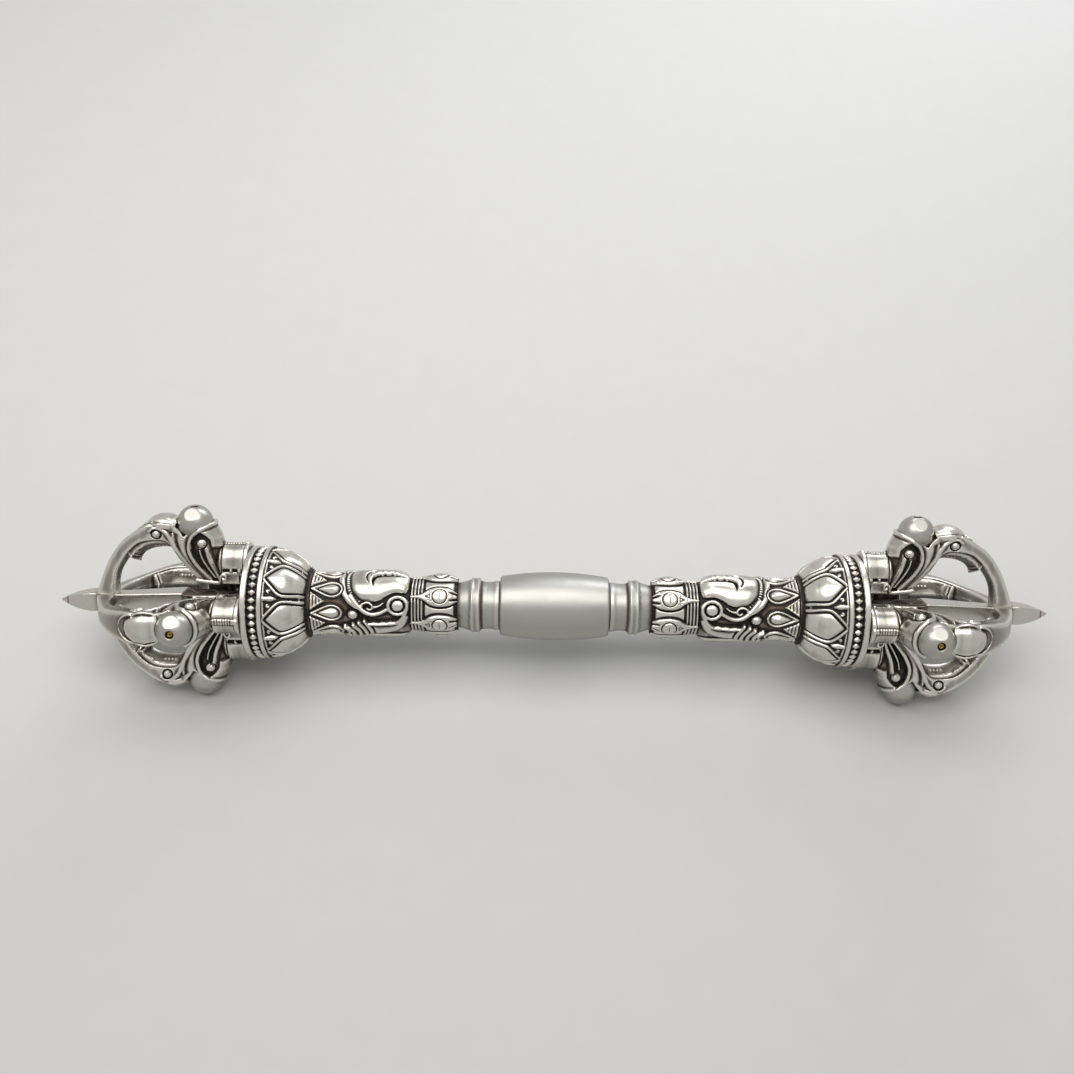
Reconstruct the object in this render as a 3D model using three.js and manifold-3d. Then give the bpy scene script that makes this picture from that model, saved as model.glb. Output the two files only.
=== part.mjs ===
// Long-handled five-pronged vajra: a turned grip carrying the same cast head at both ends.
// Millimetres, +Z up, the long axis along X, standing on the wear flats of its four lower crest balls.
// Pieces are measured outward from the middle of the grip. A prong is drawn standing up in its own
// X-Z plane, with Z as the distance from the long axis, and is then turned into place.

import * as THREE from 'three';
import { mergeVertices } from 'three/addons/utils/BufferGeometryUtils.js';
import Module from 'manifold-3d';

const wasm = await Module();
wasm.setup();

// Clearance between a peg and its hole, and between cast pieces that are soldered at a seam
const seam = 0.3;

// Turned grip and the rod inside it that strings both heads together
const gripLength = 19.14;
const gripMiddleRadius = 6.05;
const gripEndRadius = 5.2;
const gripLip = 0.4;
const rodRadius = 1.9;

// Turned neck with one bead
const neckLength = 7.43;
const neckFootRadius = 4.4;
const neckWaistRadius = 4.1;
const neckEndRadius = 3.8;
const neckBeadRadius = 4.9;
const neckBeadPlace = 4.4;
const neckBeadWidth = 1.6;

// Jewel collar: lozenge cartouches with round studs over a plain end band
const collarLength = 8.2;
const collarFootRadius = 3.95;
const collarBodyRadius = 4.75;
const collarBandRadius = 4.4;
const collarBandLength = 2.1;
const cartoucheCount = 6;
const cartoucheWidth = 3.9;
const cartoucheHeight = 0.55;
const studRadius = 1.4;
const studHeight = 0.35;
const studPlace = 3;
const cartoucheTurn = -10;
// Half outline of a cartouche from its root to its long point: shares of its length and half-width
const cartoucheEdge = [[0, 0], [0.17, 0.62], [0.36, 1], [0.56, 0.76], [0.74, 0.3]];

// Mask sleeve: domed brows, flower studs and clawed arms, then a row of teardrops. Turns are in
// degrees round the sleeve, the brow's from the upright and the others' from the brow.
const sleeveLength = 17.2;
const sleeveNeckRadius = 4.6;
const sleeveBodyRadius = 5;
const maskCount = 2;
const browLength = 10.6;
const browHalfWidth = 4.9;
const browDepth = 3.5;
const browHeight = 1.1;
const browInset = 0.4;
const browTurn = 20;
const flowerRadius = 1.55;
const flowerPlace = 1.9;
const flowerTurn = 48;
const armHalfWidth = 1.3;
const armTurn = 77;
const armSlant = 12;
const pawLength = 3.6;
const pawTurn = 88;
const pawSlant = 62;
const pearlRadius = 0.85;
const pearlTurn = 62.5;
const teardropCount = 8;
const teardropLength = 5.3;
const teardropHalfWidth = 1.65;
const teardropHeight = 1.15;

// Lotus cup with shield-shaped petals, mouth outward
const cupLength = 7.3;
const cupBandLength = 0.7;
const cupBandRadius = 5.75;
const cupFootRadius = 6.1;
const petalCount = 8;
const petalHeight = 0.45;
const petalShare = 0.82;
const dartHeight = 0.55;
const dartStart = 0.6;

// Beaded ring round the mouth of the cup
const ringLength = 3.7;
const ringRadius = 10;
const ringInnerRim = 0.85;
const ringOuterRim = 1.05;
const beadCount = 44;
const beadBedDepth = 0.75;
const ringWall = 2;

// Centre prong, square in section with its faces toward the four outer prongs
const centreLength = 34.1;
const spikeLength = 6.8;
const centreFootHalf = 1.45;
const centreSwellHalf = 1.95;
const centreSwellPlace = 12;
const centreTopHalf = 1.35;
const spikeFootHalf = 1.6;
const spikePointHalf = 0.25;
const tangRadius = 1.2;
const tangLength = 1.6;

// Outer prongs, listed by the elevation in degrees of each one's plane seen along +X
const prongPlaces = [
  { name: 'upper_back', elevation: 45 },
  { name: 'upper_front', elevation: 135 },
  { name: 'lower_front', elevation: 225 },
  { name: 'lower_back', elevation: 315 },
];
const prongReach = 27.3;
const prongTipWidth = 3.7;
const prongTipHalf = 1.4;
const prongNeckLength = 4.6;
const prongNeckMiddle = 7.35;
const prongNeckDepth = 7.1;
const prongNeckHalf = 3.05;
const shoulderPlace = 14.7;
const shoulderRadius = 16;
const shoulderDepth = 5.05;
const shoulderHalf = 2.75;
const shoulderLean = 0.3;
const saddleDrop = 2;
// Handles that bend the blade: shares of the run from shoulder to tip and of the height at the shoulder
const outerHandles = [[0.52, 0.87], [0.79, 0.49]];
const innerHandles = [[0.36, 1], [0.69, 0.58]];
const leafLength = 5.9;
const leafDrop = 3.8;
const leafRoot = 0.5;
const leafHalf = 2.3;
// Leaf from root to point: length and drop of its back, length and drop of its keel, half-width
const leafShares = [
  [0.03, 0, 0, 0.19, 0.85],
  [0.39, 0.04, 0.37, 0.36, 1],
  [0.78, 0.23, 0.66, 0.65, 0.95],
  [1, 0.5, 0.78, 0.84, 0.65],
  [0.97, 0.78, 0.8, 1.06, 0.15],
];
const bossPlace = 0.13;
const bossLength = 5;
const bossHalfWidth = 2.1;
const bossHeight = 0.75;
const pegRadius = 1.5;
const pegRadialPlace = 5.4;
const pegLength = 2.4;

// Ribbed crest on the back of each outer prong
const crestRibs = 5;
const crestHalf = 3.05;
const crestFootHalf = 2.35;
const ribHeight = 0.45;
const crestRimRadius = 13.2;
const crestHood = 0.9;
const crestGap = 0.4;
const crestLift = 0.8;
const crestBulge = 1.1;
const crestFootDepth = 3.4;
const scrollRadius = 0.85;

// Crest ball, pinned into a cup in the crest
const ballRadius = 3.05;
const ballPlace = 9.35;
const ballMiddleRadius = 14.5;
const ballWear = 0.25;
const pinRadius = 0.45;
const pinRecess = 0.35;
const pinDepth = 4.9;

// Sides of round work
const turnedSides = 22;
const carvedSides = 12;
const boreSides = 12;
const pegSides = 6;

const silver = new THREE.MeshStandardMaterial({ color: 0xb9b5aa, roughness: 0.32, metalness: 1 });
const satinSilver = new THREE.MeshStandardMaterial({ color: 0xa5a39b, roughness: 0.5, metalness: 1 });
const brass = new THREE.MeshStandardMaterial({ color: 0xa98a4e, roughness: 0.4, metalness: 1 });
const steel = new THREE.MeshStandardMaterial({ color: 0x77746d, roughness: 0.55, metalness: 1 });

const boreRadius = rodRadius + seam;
const ringBoreRadius = ringRadius - ringWall;
const cupMouthRadius = ringRadius - seam;
const axisHeight = ballMiddleRadius * Math.SQRT1_2 + ballRadius - ballWear;

const point = (x, y, z) => new THREE.Vector3(x, y, z);
const degrees = (angle) => THREE.MathUtils.degToRad(angle);
const mix = THREE.MathUtils.lerp;
const ease = (t) => t * t * (3 - 2 * t);

// Keeps only the positions of a closed surface, with shared corners joined, no empty triangles
// and every face turned outward
function closed(geometry) {
  const bare = geometry.clone();
  bare.deleteAttribute('normal');
  bare.deleteAttribute('uv');
  const merged = mergeVertices(bare, 1e-5);
  const at = merged.attributes.position;
  const corner = (i) => point(at.getX(i), at.getY(i), at.getZ(i));
  const faces = [];
  let volume = 0;
  for (let i = 0; i < merged.index.count; i += 3) {
    const [a, b, c] = [0, 1, 2].map((k) => merged.index.getX(i + k));
    if (a === b || b === c || c === a) continue;
    faces.push([a, b, c]);
    volume += corner(a).dot(corner(b).cross(corner(c)));
  }
  merged.setIndex(faces.flatMap(([a, b, c]) => (volume < 0 ? [a, c, b] : [a, b, c])));
  return merged;
}

function solid(geometry) {
  const surface = closed(geometry);
  return new wasm.Manifold(new wasm.Mesh({
    numProp: 3,
    vertProperties: Float32Array.from(surface.attributes.position.array),
    triVerts: Uint32Array.from(surface.index.array),
  }));
}

const joined = (first, ...others) => others.reduce((body, other) => body.add(other), first);
const cut = (first, ...others) => others.reduce((body, other) => body.subtract(other), first);

function surfaceOf(body) {
  const mesh = body.getMesh();
  const geometry = new THREE.BufferGeometry();
  geometry.setAttribute('position', new THREE.BufferAttribute(Float32Array.from(mesh.vertProperties), 3));
  geometry.setIndex(new THREE.BufferAttribute(Uint32Array.from(mesh.triVerts), 1));
  return geometry;
}

function piece(name, body, material) {
  const geometry = surfaceOf(body).toNonIndexed();
  geometry.computeVertexNormals();
  const mesh = new THREE.Mesh(geometry, material);
  mesh.name = name;
  return mesh;
}

// A solid through sections that all list the same number of points the same way round. Its ends
// are closed by rungs between the first half of a section and the second.
function loft(sections) {
  const count = sections[0].length;
  const positions = sections.flat().flatMap((p) => [p.x, p.y, p.z]);
  const index = [];
  for (let i = 0; i < sections.length - 1; i += 1) {
    for (let j = 0; j < count; j += 1) {
      const a = i * count + j;
      const b = i * count + ((j + 1) % count);
      index.push(a, b, b + count, a, b + count, a + count);
    }
  }
  const last = (sections.length - 1) * count;
  for (let j = 0; j < count / 2 - 1; j += 1) {
    const [a, b, c, d] = [j, j + 1, count - 2 - j, count - 1 - j];
    index.push(a, c, b, a, d, c);
    index.push(last + a, last + b, last + c, last + a, last + c, last + d);
  }
  const geometry = new THREE.BufferGeometry();
  geometry.setAttribute('position', new THREE.Float32BufferAttribute(positions, 3));
  geometry.setIndex(index);
  return geometry;
}

// Revolves [x, radius] points about the long axis; the profile starts and ends on the axis
function turned(profile, sides = turnedSides) {
  const outline = profile.map(([x, radius]) => new THREE.Vector2(radius, x));
  return new THREE.LatheGeometry(outline, sides).rotateZ(-Math.PI / 2);
}

const rodShape = (start, end, radius, sides = pegSides) =>
  turned([[start, 0], [start, radius], [end, radius], [end, 0]], sides);

// Cuts the rod's bore through a piece that lies between start and end
const bored = (body, start, end) =>
  cut(body, solid(rodShape(start - 1, end + 1, boreRadius, boreSides)));

// Turns a shape drawn at the origin, with Z outward, to its place on a sleeve
const onSleeve = (geometry, x, radius, angle) =>
  geometry.translate(0, 0, radius).rotateX(degrees(angle - 90)).translate(x, 0, 0);

const dome = (length, halfWidth, height, sides, rows) =>
  new THREE.SphereGeometry(1, sides, rows).rotateZ(Math.PI / 2).scale(length / 2, halfWidth, height);

// Every place along the long axis follows from the lengths of the pieces below it
const neckStart = gripLength / 2;
const collarStart = neckStart + neckLength;
const sleeveStart = collarStart + collarLength;
const cupStart = sleeveStart + sleeveLength;
const ringStart = cupStart + cupLength;
const prongStart = ringStart + ringLength;

function gripBarrel() {
  const half = gripLength / 2;
  const swell = [];
  for (let x = -half + gripLip; x < half; x += (gripLength - 2 * gripLip) / 6 - 1e-9) {
    swell.push([x, mix(gripMiddleRadius, gripEndRadius, (x / half) ** 2)]);
  }
  const lip = gripEndRadius - gripLip;
  const profile = [[-half, 0], [-half, lip], ...swell, [half, lip], [half, 0]];
  return piece('grip_barrel', bored(solid(turned(profile)), -half, half), satinSilver);
}

function coreRod() {
  const end = ringStart + ringLength / 2 - seam / 2;
  return piece('core_rod', solid(rodShape(-end, end, rodRadius, boreSides)), steel);
}

function neckRing(name) {
  const end = collarStart;
  const bead = neckStart + neckBeadPlace;
  const profile = [
    [neckStart, 0],
    [neckStart, neckFootRadius],
    [neckStart + neckBeadWidth / 2, mix(neckWaistRadius, neckFootRadius, 0.4)],
    [bead - neckBeadWidth, neckWaistRadius],
    [bead - neckBeadWidth / 4, neckBeadRadius],
    [bead + neckBeadWidth / 4, neckBeadRadius],
    [bead + neckBeadWidth / 2, mix(neckEndRadius, neckBeadRadius, 0.55)],
    [end, neckEndRadius],
    [end, 0],
  ];
  return piece(name, bored(solid(turned(profile)), neckStart, end), satinSilver);
}

// One flat-topped lozenge, its long point toward the mask
function cartouche() {
  const length = collarLength - 2 * seam;
  const half = cartoucheWidth / 2;
  const upper = cartoucheEdge.map(([x, y]) => new THREE.Vector2(length * x, half * y));
  const lower = upper.slice(1).reverse().map(({ x, y }) => new THREE.Vector2(x, -y));
  const outline = new THREE.Shape([...upper, new THREE.Vector2(length, 0), ...lower]);
  const depth = collarBodyRadius / 3;
  return new THREE.ExtrudeGeometry(outline, { depth: depth + cartoucheHeight, bevelEnabled: false })
    .translate(seam - studPlace, 0, -depth);
}

function jewelCollar(name, hand) {
  const end = sleeveStart;
  const profile = [
    [collarStart, 0],
    [collarStart, collarFootRadius],
    [collarStart + studPlace * 0.6, collarBodyRadius],
    [collarStart + studPlace * 1.3, collarBodyRadius],
    [end - collarBandLength, collarBandRadius],
    [end, collarBandRadius],
    [end, 0],
  ];
  let body = bored(solid(turned(profile, carvedSides)), collarStart, end);
  for (let k = 0; k < cartoucheCount; k += 1) {
    const angle = 90 + hand * cartoucheTurn + (360 / cartoucheCount) * k;
    const x = collarStart + studPlace;
    const stud = new THREE.CylinderGeometry(studRadius * 0.7, studRadius, studHeight * 2, 6)
      .rotateX(Math.PI / 2);
    body = joined(
      body,
      solid(onSleeve(cartouche(), x, collarBodyRadius, angle)),
      solid(onSleeve(stud, x, collarBodyRadius + cartoucheHeight, angle)),
    );
  }
  return piece(name, body, silver);
}

// A drop that is round at x = 0 and pointed at its far end
function teardrop() {
  const outline = [0, 0.12, 0.4, 1].map((t) =>
    [teardropLength * t, 2.6 * teardropHalfWidth * Math.sqrt(t) * (1 - t)]);
  return turned(outline, 6).scale(1, 1, teardropHeight / teardropHalfWidth);
}

// An arm from the flower stud out to its paw, which turns across the sleeve
function pawedArm(browAngle, hand) {
  const start = sleeveStart + flowerPlace;
  const wrist = sleeveStart + browLength * 0.8;
  const reach = wrist - start;
  const limb = dome(reach * 1.1, armHalfWidth, browHeight, 6, 4).rotateZ(degrees(-hand * armSlant));
  const paw = dome(pawLength, armHalfWidth * 1.2, browHeight * 1.05, 6, 4)
    .rotateZ(degrees(hand * pawSlant));
  return [
    solid(onSleeve(limb, start + reach / 2, sleeveBodyRadius, browAngle - hand * armTurn)),
    solid(onSleeve(paw, wrist + armHalfWidth, sleeveBodyRadius, browAngle - hand * pawTurn)),
  ];
}

function maskSleeve(name, hand) {
  const end = cupStart;
  const dropStart = end - teardropLength * 0.95;
  const profile = [
    [sleeveStart, 0],
    [sleeveStart, sleeveNeckRadius],
    [sleeveStart + flowerPlace * 0.6, sleeveBodyRadius],
    [dropStart - seam, sleeveBodyRadius],
    [dropStart + teardropLength * 0.2, sleeveBodyRadius * 0.96],
    [end, cupBandRadius - seam],
    [end, 0],
  ];
  let body = solid(turned(profile, carvedSides));
  const browRadius = sleeveBodyRadius + browHeight - browDepth;
  for (let k = 0; k < maskCount; k += 1) {
    const angle = 90 + hand * browTurn + (360 / maskCount) * k;
    const flowerAngle = angle - hand * flowerTurn;
    const pearlAngle = angle - hand * pearlTurn;
    const browX = sleeveStart + browInset + browLength / 2;
    const flower = new THREE.CylinderGeometry(flowerRadius * 0.75, flowerRadius, browHeight * 1.9, 6)
      .rotateX(Math.PI / 2);
    const pearl = new THREE.SphereGeometry(pearlRadius, 5, 4);
    const brow = dome(browLength, browHalfWidth, browDepth, 14, 5);
    body = joined(
      body,
      solid(onSleeve(brow, browX, browRadius, angle)),
      solid(onSleeve(flower, sleeveStart + flowerPlace, sleeveBodyRadius, flowerAngle)),
      solid(onSleeve(pearl, sleeveStart + browLength, sleeveBodyRadius, pearlAngle)),
      ...pawedArm(angle, hand),
    );
  }
  for (let k = 0; k < teardropCount; k += 1) {
    const angle = (360 / teardropCount) * k;
    body = joined(body, solid(onSleeve(teardrop(), dropStart - seam, sleeveBodyRadius, angle)));
  }
  // The pointed ends of the drops stop flat against the cup
  const overhang = new THREE.CylinderGeometry(cupMouthRadius, cupMouthRadius, cupLength, 12)
    .rotateZ(Math.PI / 2).translate(end + cupLength / 2, 0, 0);
  return piece(name, bored(cut(body, solid(overhang)), sleeveStart, end), silver);
}

// Bell of the cup: radius at a share t of its length past the foot band
const bell = (t) => mix(cupFootRadius, cupMouthRadius, Math.sin((Math.PI / 2) * t) ** 0.8);

function lotusCup(name) {
  const end = ringStart;
  const bellStart = cupStart + cupBandLength;
  const step = 360 / petalCount;
  // Rows of the bell: share of its length, and the petal's half-width as a share of the step
  const rows = [[0.03, 1], [0.46, 1], [0.74, 0.56], [0.94, 0.06]];
  const columns = [[0, 1.12], [1, 1], [1.12, 0]];
  const sections = rows.map(([t, share]) => {
    const x = bellStart + (end - bellStart) * t;
    const section = [];
    for (let k = 0; k < petalCount; k += 1) {
      const half = (step / 2) * petalShare * share;
      const offsets = columns.map(([a, raised]) => [a * half, raised]);
      const between = [step / 2, t > dartStart ? dartHeight / petalHeight : 0];
      const sides = [...offsets.slice(1).reverse().map(([a, raised]) => [-a, raised]), ...offsets, between];
      for (const [a, raised] of sides) {
        const radius = bell(t) - petalHeight + raised * petalHeight;
        const angle = degrees(step * k + a);
        section.push(point(x, radius * Math.cos(angle), radius * Math.sin(angle)));
      }
    }
    return section;
  });
  const round = (x, radius) => sections[0].map((p) => {
    const angle = Math.atan2(p.z, p.y);
    return point(x, radius * Math.cos(angle), radius * Math.sin(angle));
  });
  const body = loft([
    round(cupStart, cupBandRadius),
    round(bellStart, cupBandRadius),
    ...sections,
    round(end, cupMouthRadius),
  ]);
  return piece(name, bored(solid(body), cupStart, end), silver);
}

// Ring with two plain rims and a bed of four-sided beads between them
function beadedRing(name) {
  const end = ringStart + ringLength;
  const bed = ringRadius - beadBedDepth;
  const profile = [
    [ringStart, ringBoreRadius],
    [ringStart, ringRadius],
    [ringStart + ringInnerRim, ringRadius],
    [ringStart + ringInnerRim, bed],
    [end - ringOuterRim, bed],
    [end - ringOuterRim, ringRadius],
    [end, ringRadius],
    [end, ringBoreRadius],
  ];
  const rows = profile.length;
  const bedRow = 3;
  const positions = [];
  const index = [];
  const place = (x, radius, turn) => {
    const angle = (2 * Math.PI * turn) / beadCount;
    positions.push(x, radius * Math.cos(angle), radius * Math.sin(angle));
  };
  for (let k = 0; k < beadCount; k += 1) profile.forEach(([x, radius]) => place(x, radius, k));
  for (let k = 0; k < beadCount; k += 1) {
    place((profile[bedRow][0] + profile[bedRow + 1][0]) / 2, ringRadius, k + 0.5);
    const apex = positions.length / 3 - 1;
    for (let row = 0; row < rows; row += 1) {
      const a = k * rows + row;
      const b = k * rows + ((row + 1) % rows);
      const c = ((k + 1) % beadCount) * rows + ((row + 1) % rows);
      const d = ((k + 1) % beadCount) * rows + row;
      if (row === bedRow) index.push(a, b, apex, b, c, apex, c, d, apex, d, a, apex);
      else index.push(a, b, c, a, c, d);
    }
  }
  const geometry = new THREE.BufferGeometry();
  geometry.setAttribute('position', new THREE.Float32BufferAttribute(positions, 3));
  geometry.setIndex(index);
  return piece(name, solid(geometry), silver);
}

// Disc in the mouth of the ring with a socket for each prong's peg and for the tang and the rod
function seatPlate(name) {
  const radius = ringBoreRadius - seam;
  const middle = ringStart + ringLength / 2;
  let body = solid(rodShape(ringStart, prongStart, radius, turnedSides));
  body = cut(
    body,
    solid(rodShape(ringStart - 1, middle, boreRadius, boreSides)),
    solid(rodShape(middle - 1, prongStart + 1, tangRadius + seam)),
  );
  for (const { elevation } of prongPlaces) {
    const socket = rodShape(prongStart - pegLength - seam, prongStart + 1, pegRadius + seam)
      .translate(0, 0, pegRadialPlace).rotateX(degrees(elevation - 90));
    body = cut(body, solid(socket));
  }
  return piece(name, body, steel);
}

// Half-size of the centre prong's square section at a distance from its foot
function centreHalf(x) {
  if (x < centreSwellPlace) return mix(centreFootHalf, centreSwellHalf, ease(x / centreSwellPlace));
  const spikeFoot = centreLength - spikeLength;
  const t = (x - centreSwellPlace) / (spikeFoot - centreSwellPlace);
  return mix(centreSwellHalf, centreTopHalf, Math.min(1, t * 1.5));
}

function centreProng(name) {
  const foot = prongStart + seam;
  const spikeFoot = centreLength - spikeLength;
  const square = (x, half) => [0, 1, 2, 3].map((k) => {
    const reach = half * Math.SQRT2;
    const angle = (Math.PI / 2) * k;
    return point(x, reach * Math.sin(angle), reach * Math.cos(angle));
  });
  const sections = [square(foot, centreFootHalf)];
  for (let k = 1; k <= 7; k += 1) {
    const x = (spikeFoot * k) / 7;
    sections.push(square(prongStart + x, centreHalf(x)));
  }
  sections.push(square(prongStart + spikeFoot + seam, spikeFootHalf));
  for (let k = 1; k <= 4; k += 1) {
    const t = k / 4;
    const half = mix(spikeFootHalf, spikePointHalf, t ** 1.35);
    sections.push(square(mix(prongStart + spikeFoot + seam, prongStart + centreLength, t), half));
  }
  const tang = rodShape(prongStart - tangLength, foot + 1, tangRadius);
  return piece(name, joined(solid(loft(sections)), solid(tang)), silver);
}

// Eight-cornered section of a prong between its outer and inner contour
function prongSection(outer, inner, half, chamfer) {
  const middle = outer.clone().add(inner).multiplyScalar(0.5);
  const along = outer.clone().sub(middle);
  const lift = 1 - Math.min(0.9, (chamfer * half) / along.length());
  const side = 1 - chamfer;
  return [[-1, side], [-lift, 1], [lift, 1], [1, side], [1, -side], [lift, -1], [-lift, -1], [-1, -side]]
    .map(([a, b]) => point(middle.x + along.x * a, half * b, middle.y + along.y * a));
}

const flat = (x, radius) => new THREE.Vector2(x, radius);
const curve = (...points) => new THREE.CubicBezierCurve(...points);

// Contours of a prong, in its own plane, from the ring's face at x = 0
const shoulderOuter = flat(shoulderPlace, shoulderRadius);
const shoulderInner = flat(shoulderPlace - shoulderLean, shoulderRadius - shoulderDepth);
const tipRadius = centreTopHalf + seam;
const neckOuterRadius = prongNeckMiddle + prongNeckDepth / 2;
const neckInnerRadius = prongNeckMiddle - prongNeckDepth / 2;
const onBlade = ([run, height], top) => flat(mix(shoulderPlace, prongReach, run), top * height);
const arcOuter = curve(
  shoulderOuter,
  ...outerHandles.map((handle) => onBlade(handle, shoulderRadius)),
  flat(prongReach, tipRadius),
);
const arcInner = curve(
  shoulderInner,
  ...innerHandles.map((handle) => onBlade(handle, shoulderInner.y)),
  flat(prongReach - prongTipWidth, tipRadius),
);
const ballFront = ballPlace + ballRadius;
const ballBack = ballPlace - ballRadius;
const crestFoot = flat(prongNeckLength + crestGap, neckInnerRadius + crestLift);
const saddleOuter = flat(ballFront - leafRoot * 2, crestRimRadius - seam);
const saddleInner = flat(ballFront - seam, shoulderInner.y - saddleDrop);

// Oval neck that leaves the ring's face and runs into the foot of the crest
function prongNeck() {
  return loft([[seam, 0, 0], [prongNeckLength / 2, 0.3, 0.2], [prongNeckLength + 1, 0.5, 0.7]]
    .map(([x, waist, slim]) => prongSection(
      flat(x, neckOuterRadius - waist), flat(x, neckInnerRadius + waist), prongNeckHalf - slim, 0.32,
    )));
}

// Curved blade from the saddle under the ball, over the shoulder and down to the tip
function prongArc() {
  const sections = [prongSection(saddleOuter, saddleInner, crestFootHalf, 0.2)];
  for (let k = 0; k <= 5; k += 1) {
    const t = k / 5;
    const half = mix(shoulderHalf, prongTipHalf, ease(Math.min(1, t * 1.5)));
    sections.push(prongSection(arcOuter.getPoint(t), arcInner.getPoint(t), half, 0.14));
  }
  return loft(sections);
}

// Fan of ribs that springs from the foot of the crest and spreads to its rim
function crestFan() {
  const back = curve(
    crestFoot,
    flat(crestFoot.x - crestBulge, prongNeckMiddle),
    flat(crestFoot.x - crestBulge, crestRimRadius - crestHood),
    flat(ballBack - seam, crestRimRadius + crestHood),
  );
  const front = curve(
    flat(crestFoot.x + crestFootDepth, crestFoot.y),
    flat(ballFront - crestBulge, prongNeckMiddle),
    flat(ballFront, shoulderInner.y + crestLift),
    flat(shoulderPlace + scrollRadius, crestRimRadius),
  );
  const steps = [0, 0.35, 0.7, 1];
  const halfAt = (s) => mix(crestFootHalf, crestHalf, Math.sin(Math.PI * Math.min(1, s * 1.25) * 0.62));
  const sections = [];
  const last = 2 * crestRibs - 2;
  for (let k = 0; k <= last; k += 1) {
    const rise = k % 2 ? 0 : ribHeight;
    const path = steps.map((s) => {
      const at = back.getPoint(s).lerp(front.getPoint(s), k / last);
      return [at, halfAt(s) + rise * Math.sin(Math.PI * (0.15 + 0.7 * s))];
    });
    const right = path.map(([at, half]) => point(at.x, half, at.y));
    const left = path.map(([at, half]) => point(at.x, -half, at.y)).reverse();
    sections.push([...right, ...left]);
  }
  return loft(sections);
}

// Keeled leaf under the shoulder, whose point turns in toward the centre prong
function innerLeaf() {
  const top = shoulderInner.y + leafRoot;
  const spot = (run, drop, y) => point(shoulderPlace + leafLength * run, y, top - leafDrop * drop);
  return loft(leafShares.map(([run, drop, keelRun, keelDrop, share]) => {
    const half = leafHalf * share;
    return [spot(run, drop, -half), spot(run, drop, half), spot(keelRun, keelDrop, half / 6),
      spot(keelRun, keelDrop, -half / 6)];
  }));
}

function outerProng(name) {
  const bossAt = arcOuter.getPoint(bossPlace);
  const lean = arcOuter.getTangent(bossPlace);
  const boss = dome(bossLength, bossHalfWidth, bossHeight, 6, 4)
    .rotateY(-Math.atan2(lean.y, lean.x)).translate(bossAt.x, 0, bossAt.y);
  const peg = rodShape(prongStart - pegLength, prongStart + 1, pegRadius)
    .translate(-prongStart, 0, pegRadialPlace);
  let body = joined(
    solid(prongNeck()), solid(crestFan()), solid(prongArc()), solid(innerLeaf()), solid(boss), solid(peg),
  );
  for (const side of [-1, 1]) {
    const scroll = new THREE.SphereGeometry(scrollRadius, 5, 4)
      .translate(shoulderPlace + scrollRadius, side * shoulderHalf, crestRimRadius);
    body = joined(body, solid(scroll));
  }
  const cup = new THREE.SphereGeometry(ballRadius + seam, 8, 5)
    .rotateX(Math.PI / 2).translate(ballPlace, 0, ballMiddleRadius);
  const floor = ballMiddleRadius - pinDepth - seam;
  const pinHole = new THREE.CylinderGeometry(pinRadius + seam, pinRadius + seam, ballRadius * 2, 6)
    .rotateX(Math.PI / 2).translate(ballPlace, 0, floor + ballRadius);
  body = cut(body, solid(cup), solid(pinHole));
  return piece(name, body, silver);
}

// Ball with a drilled core and the two wear flats it can rest on
function crestBall(name) {
  let body = solid(new THREE.SphereGeometry(ballRadius, 10, 6).rotateX(Math.PI / 2));
  const drill = new THREE.CylinderGeometry(pinRadius + seam, pinRadius + seam, ballRadius * 3, 6)
    .rotateX(Math.PI / 2);
  body = cut(body, solid(drill));
  const worn = ballRadius - ballWear;
  for (const side of [-1, 1]) {
    const block = new THREE.BoxGeometry(ballRadius * 2, ballRadius * 2, ballRadius)
      .translate(0, 0, worn + ballRadius / 2).rotateX(degrees(45 * side));
    body = cut(body, solid(block));
  }
  const mesh = piece(name, body, silver);
  mesh.position.set(ballPlace, 0, ballMiddleRadius);
  return mesh;
}

function crestPin(name) {
  const top = ballMiddleRadius + ballRadius - pinRecess;
  const bottom = ballMiddleRadius - pinDepth;
  const pin = new THREE.CylinderGeometry(pinRadius, pinRadius, top - bottom, 6)
    .rotateX(Math.PI / 2);
  const mesh = piece(name, solid(pin), brass);
  mesh.position.set(ballPlace, 0, (top + bottom) / 2);
  return mesh;
}

// One end of the vajra, drawn toward +X and turned about the upright for the left end. The two ends
// are mirror images, so their reliefs run opposite ways round.
function head(side) {
  const group = new THREE.Group();
  const toLeft = side === 'left';
  const hand = toLeft ? 1 : -1;
  group.add(
    neckRing(`${side}_neck_ring`),
    jewelCollar(`${side}_jewel_collar`, hand),
    maskSleeve(`${side}_mask_sleeve`, hand),
    lotusCup(`${side}_lotus_cup`),
    beadedRing(`${side}_beaded_ring`),
    seatPlate(`${side}_seat_plate`),
    centreProng(`${side}_centre_prong`),
  );
  for (const { name, elevation } of prongPlaces) {
    const prong = new THREE.Group();
    prong.add(
      outerProng(`${side}_prong_${name}`),
      crestBall(`${side}_ball_${name}`),
      crestPin(`${side}_pin_${name}`),
    );
    prong.rotation.x = degrees((toLeft ? 180 - elevation : elevation) - 90);
    prong.position.x = prongStart;
    group.add(prong);
  }
  if (toLeft) group.rotation.z = Math.PI;
  return group;
}

const vajra = new THREE.Group();
vajra.add(gripBarrel(), coreRod(), head('left'), head('right'));
vajra.position.z = axisHeight;

export default vajra;
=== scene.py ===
import math

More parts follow.
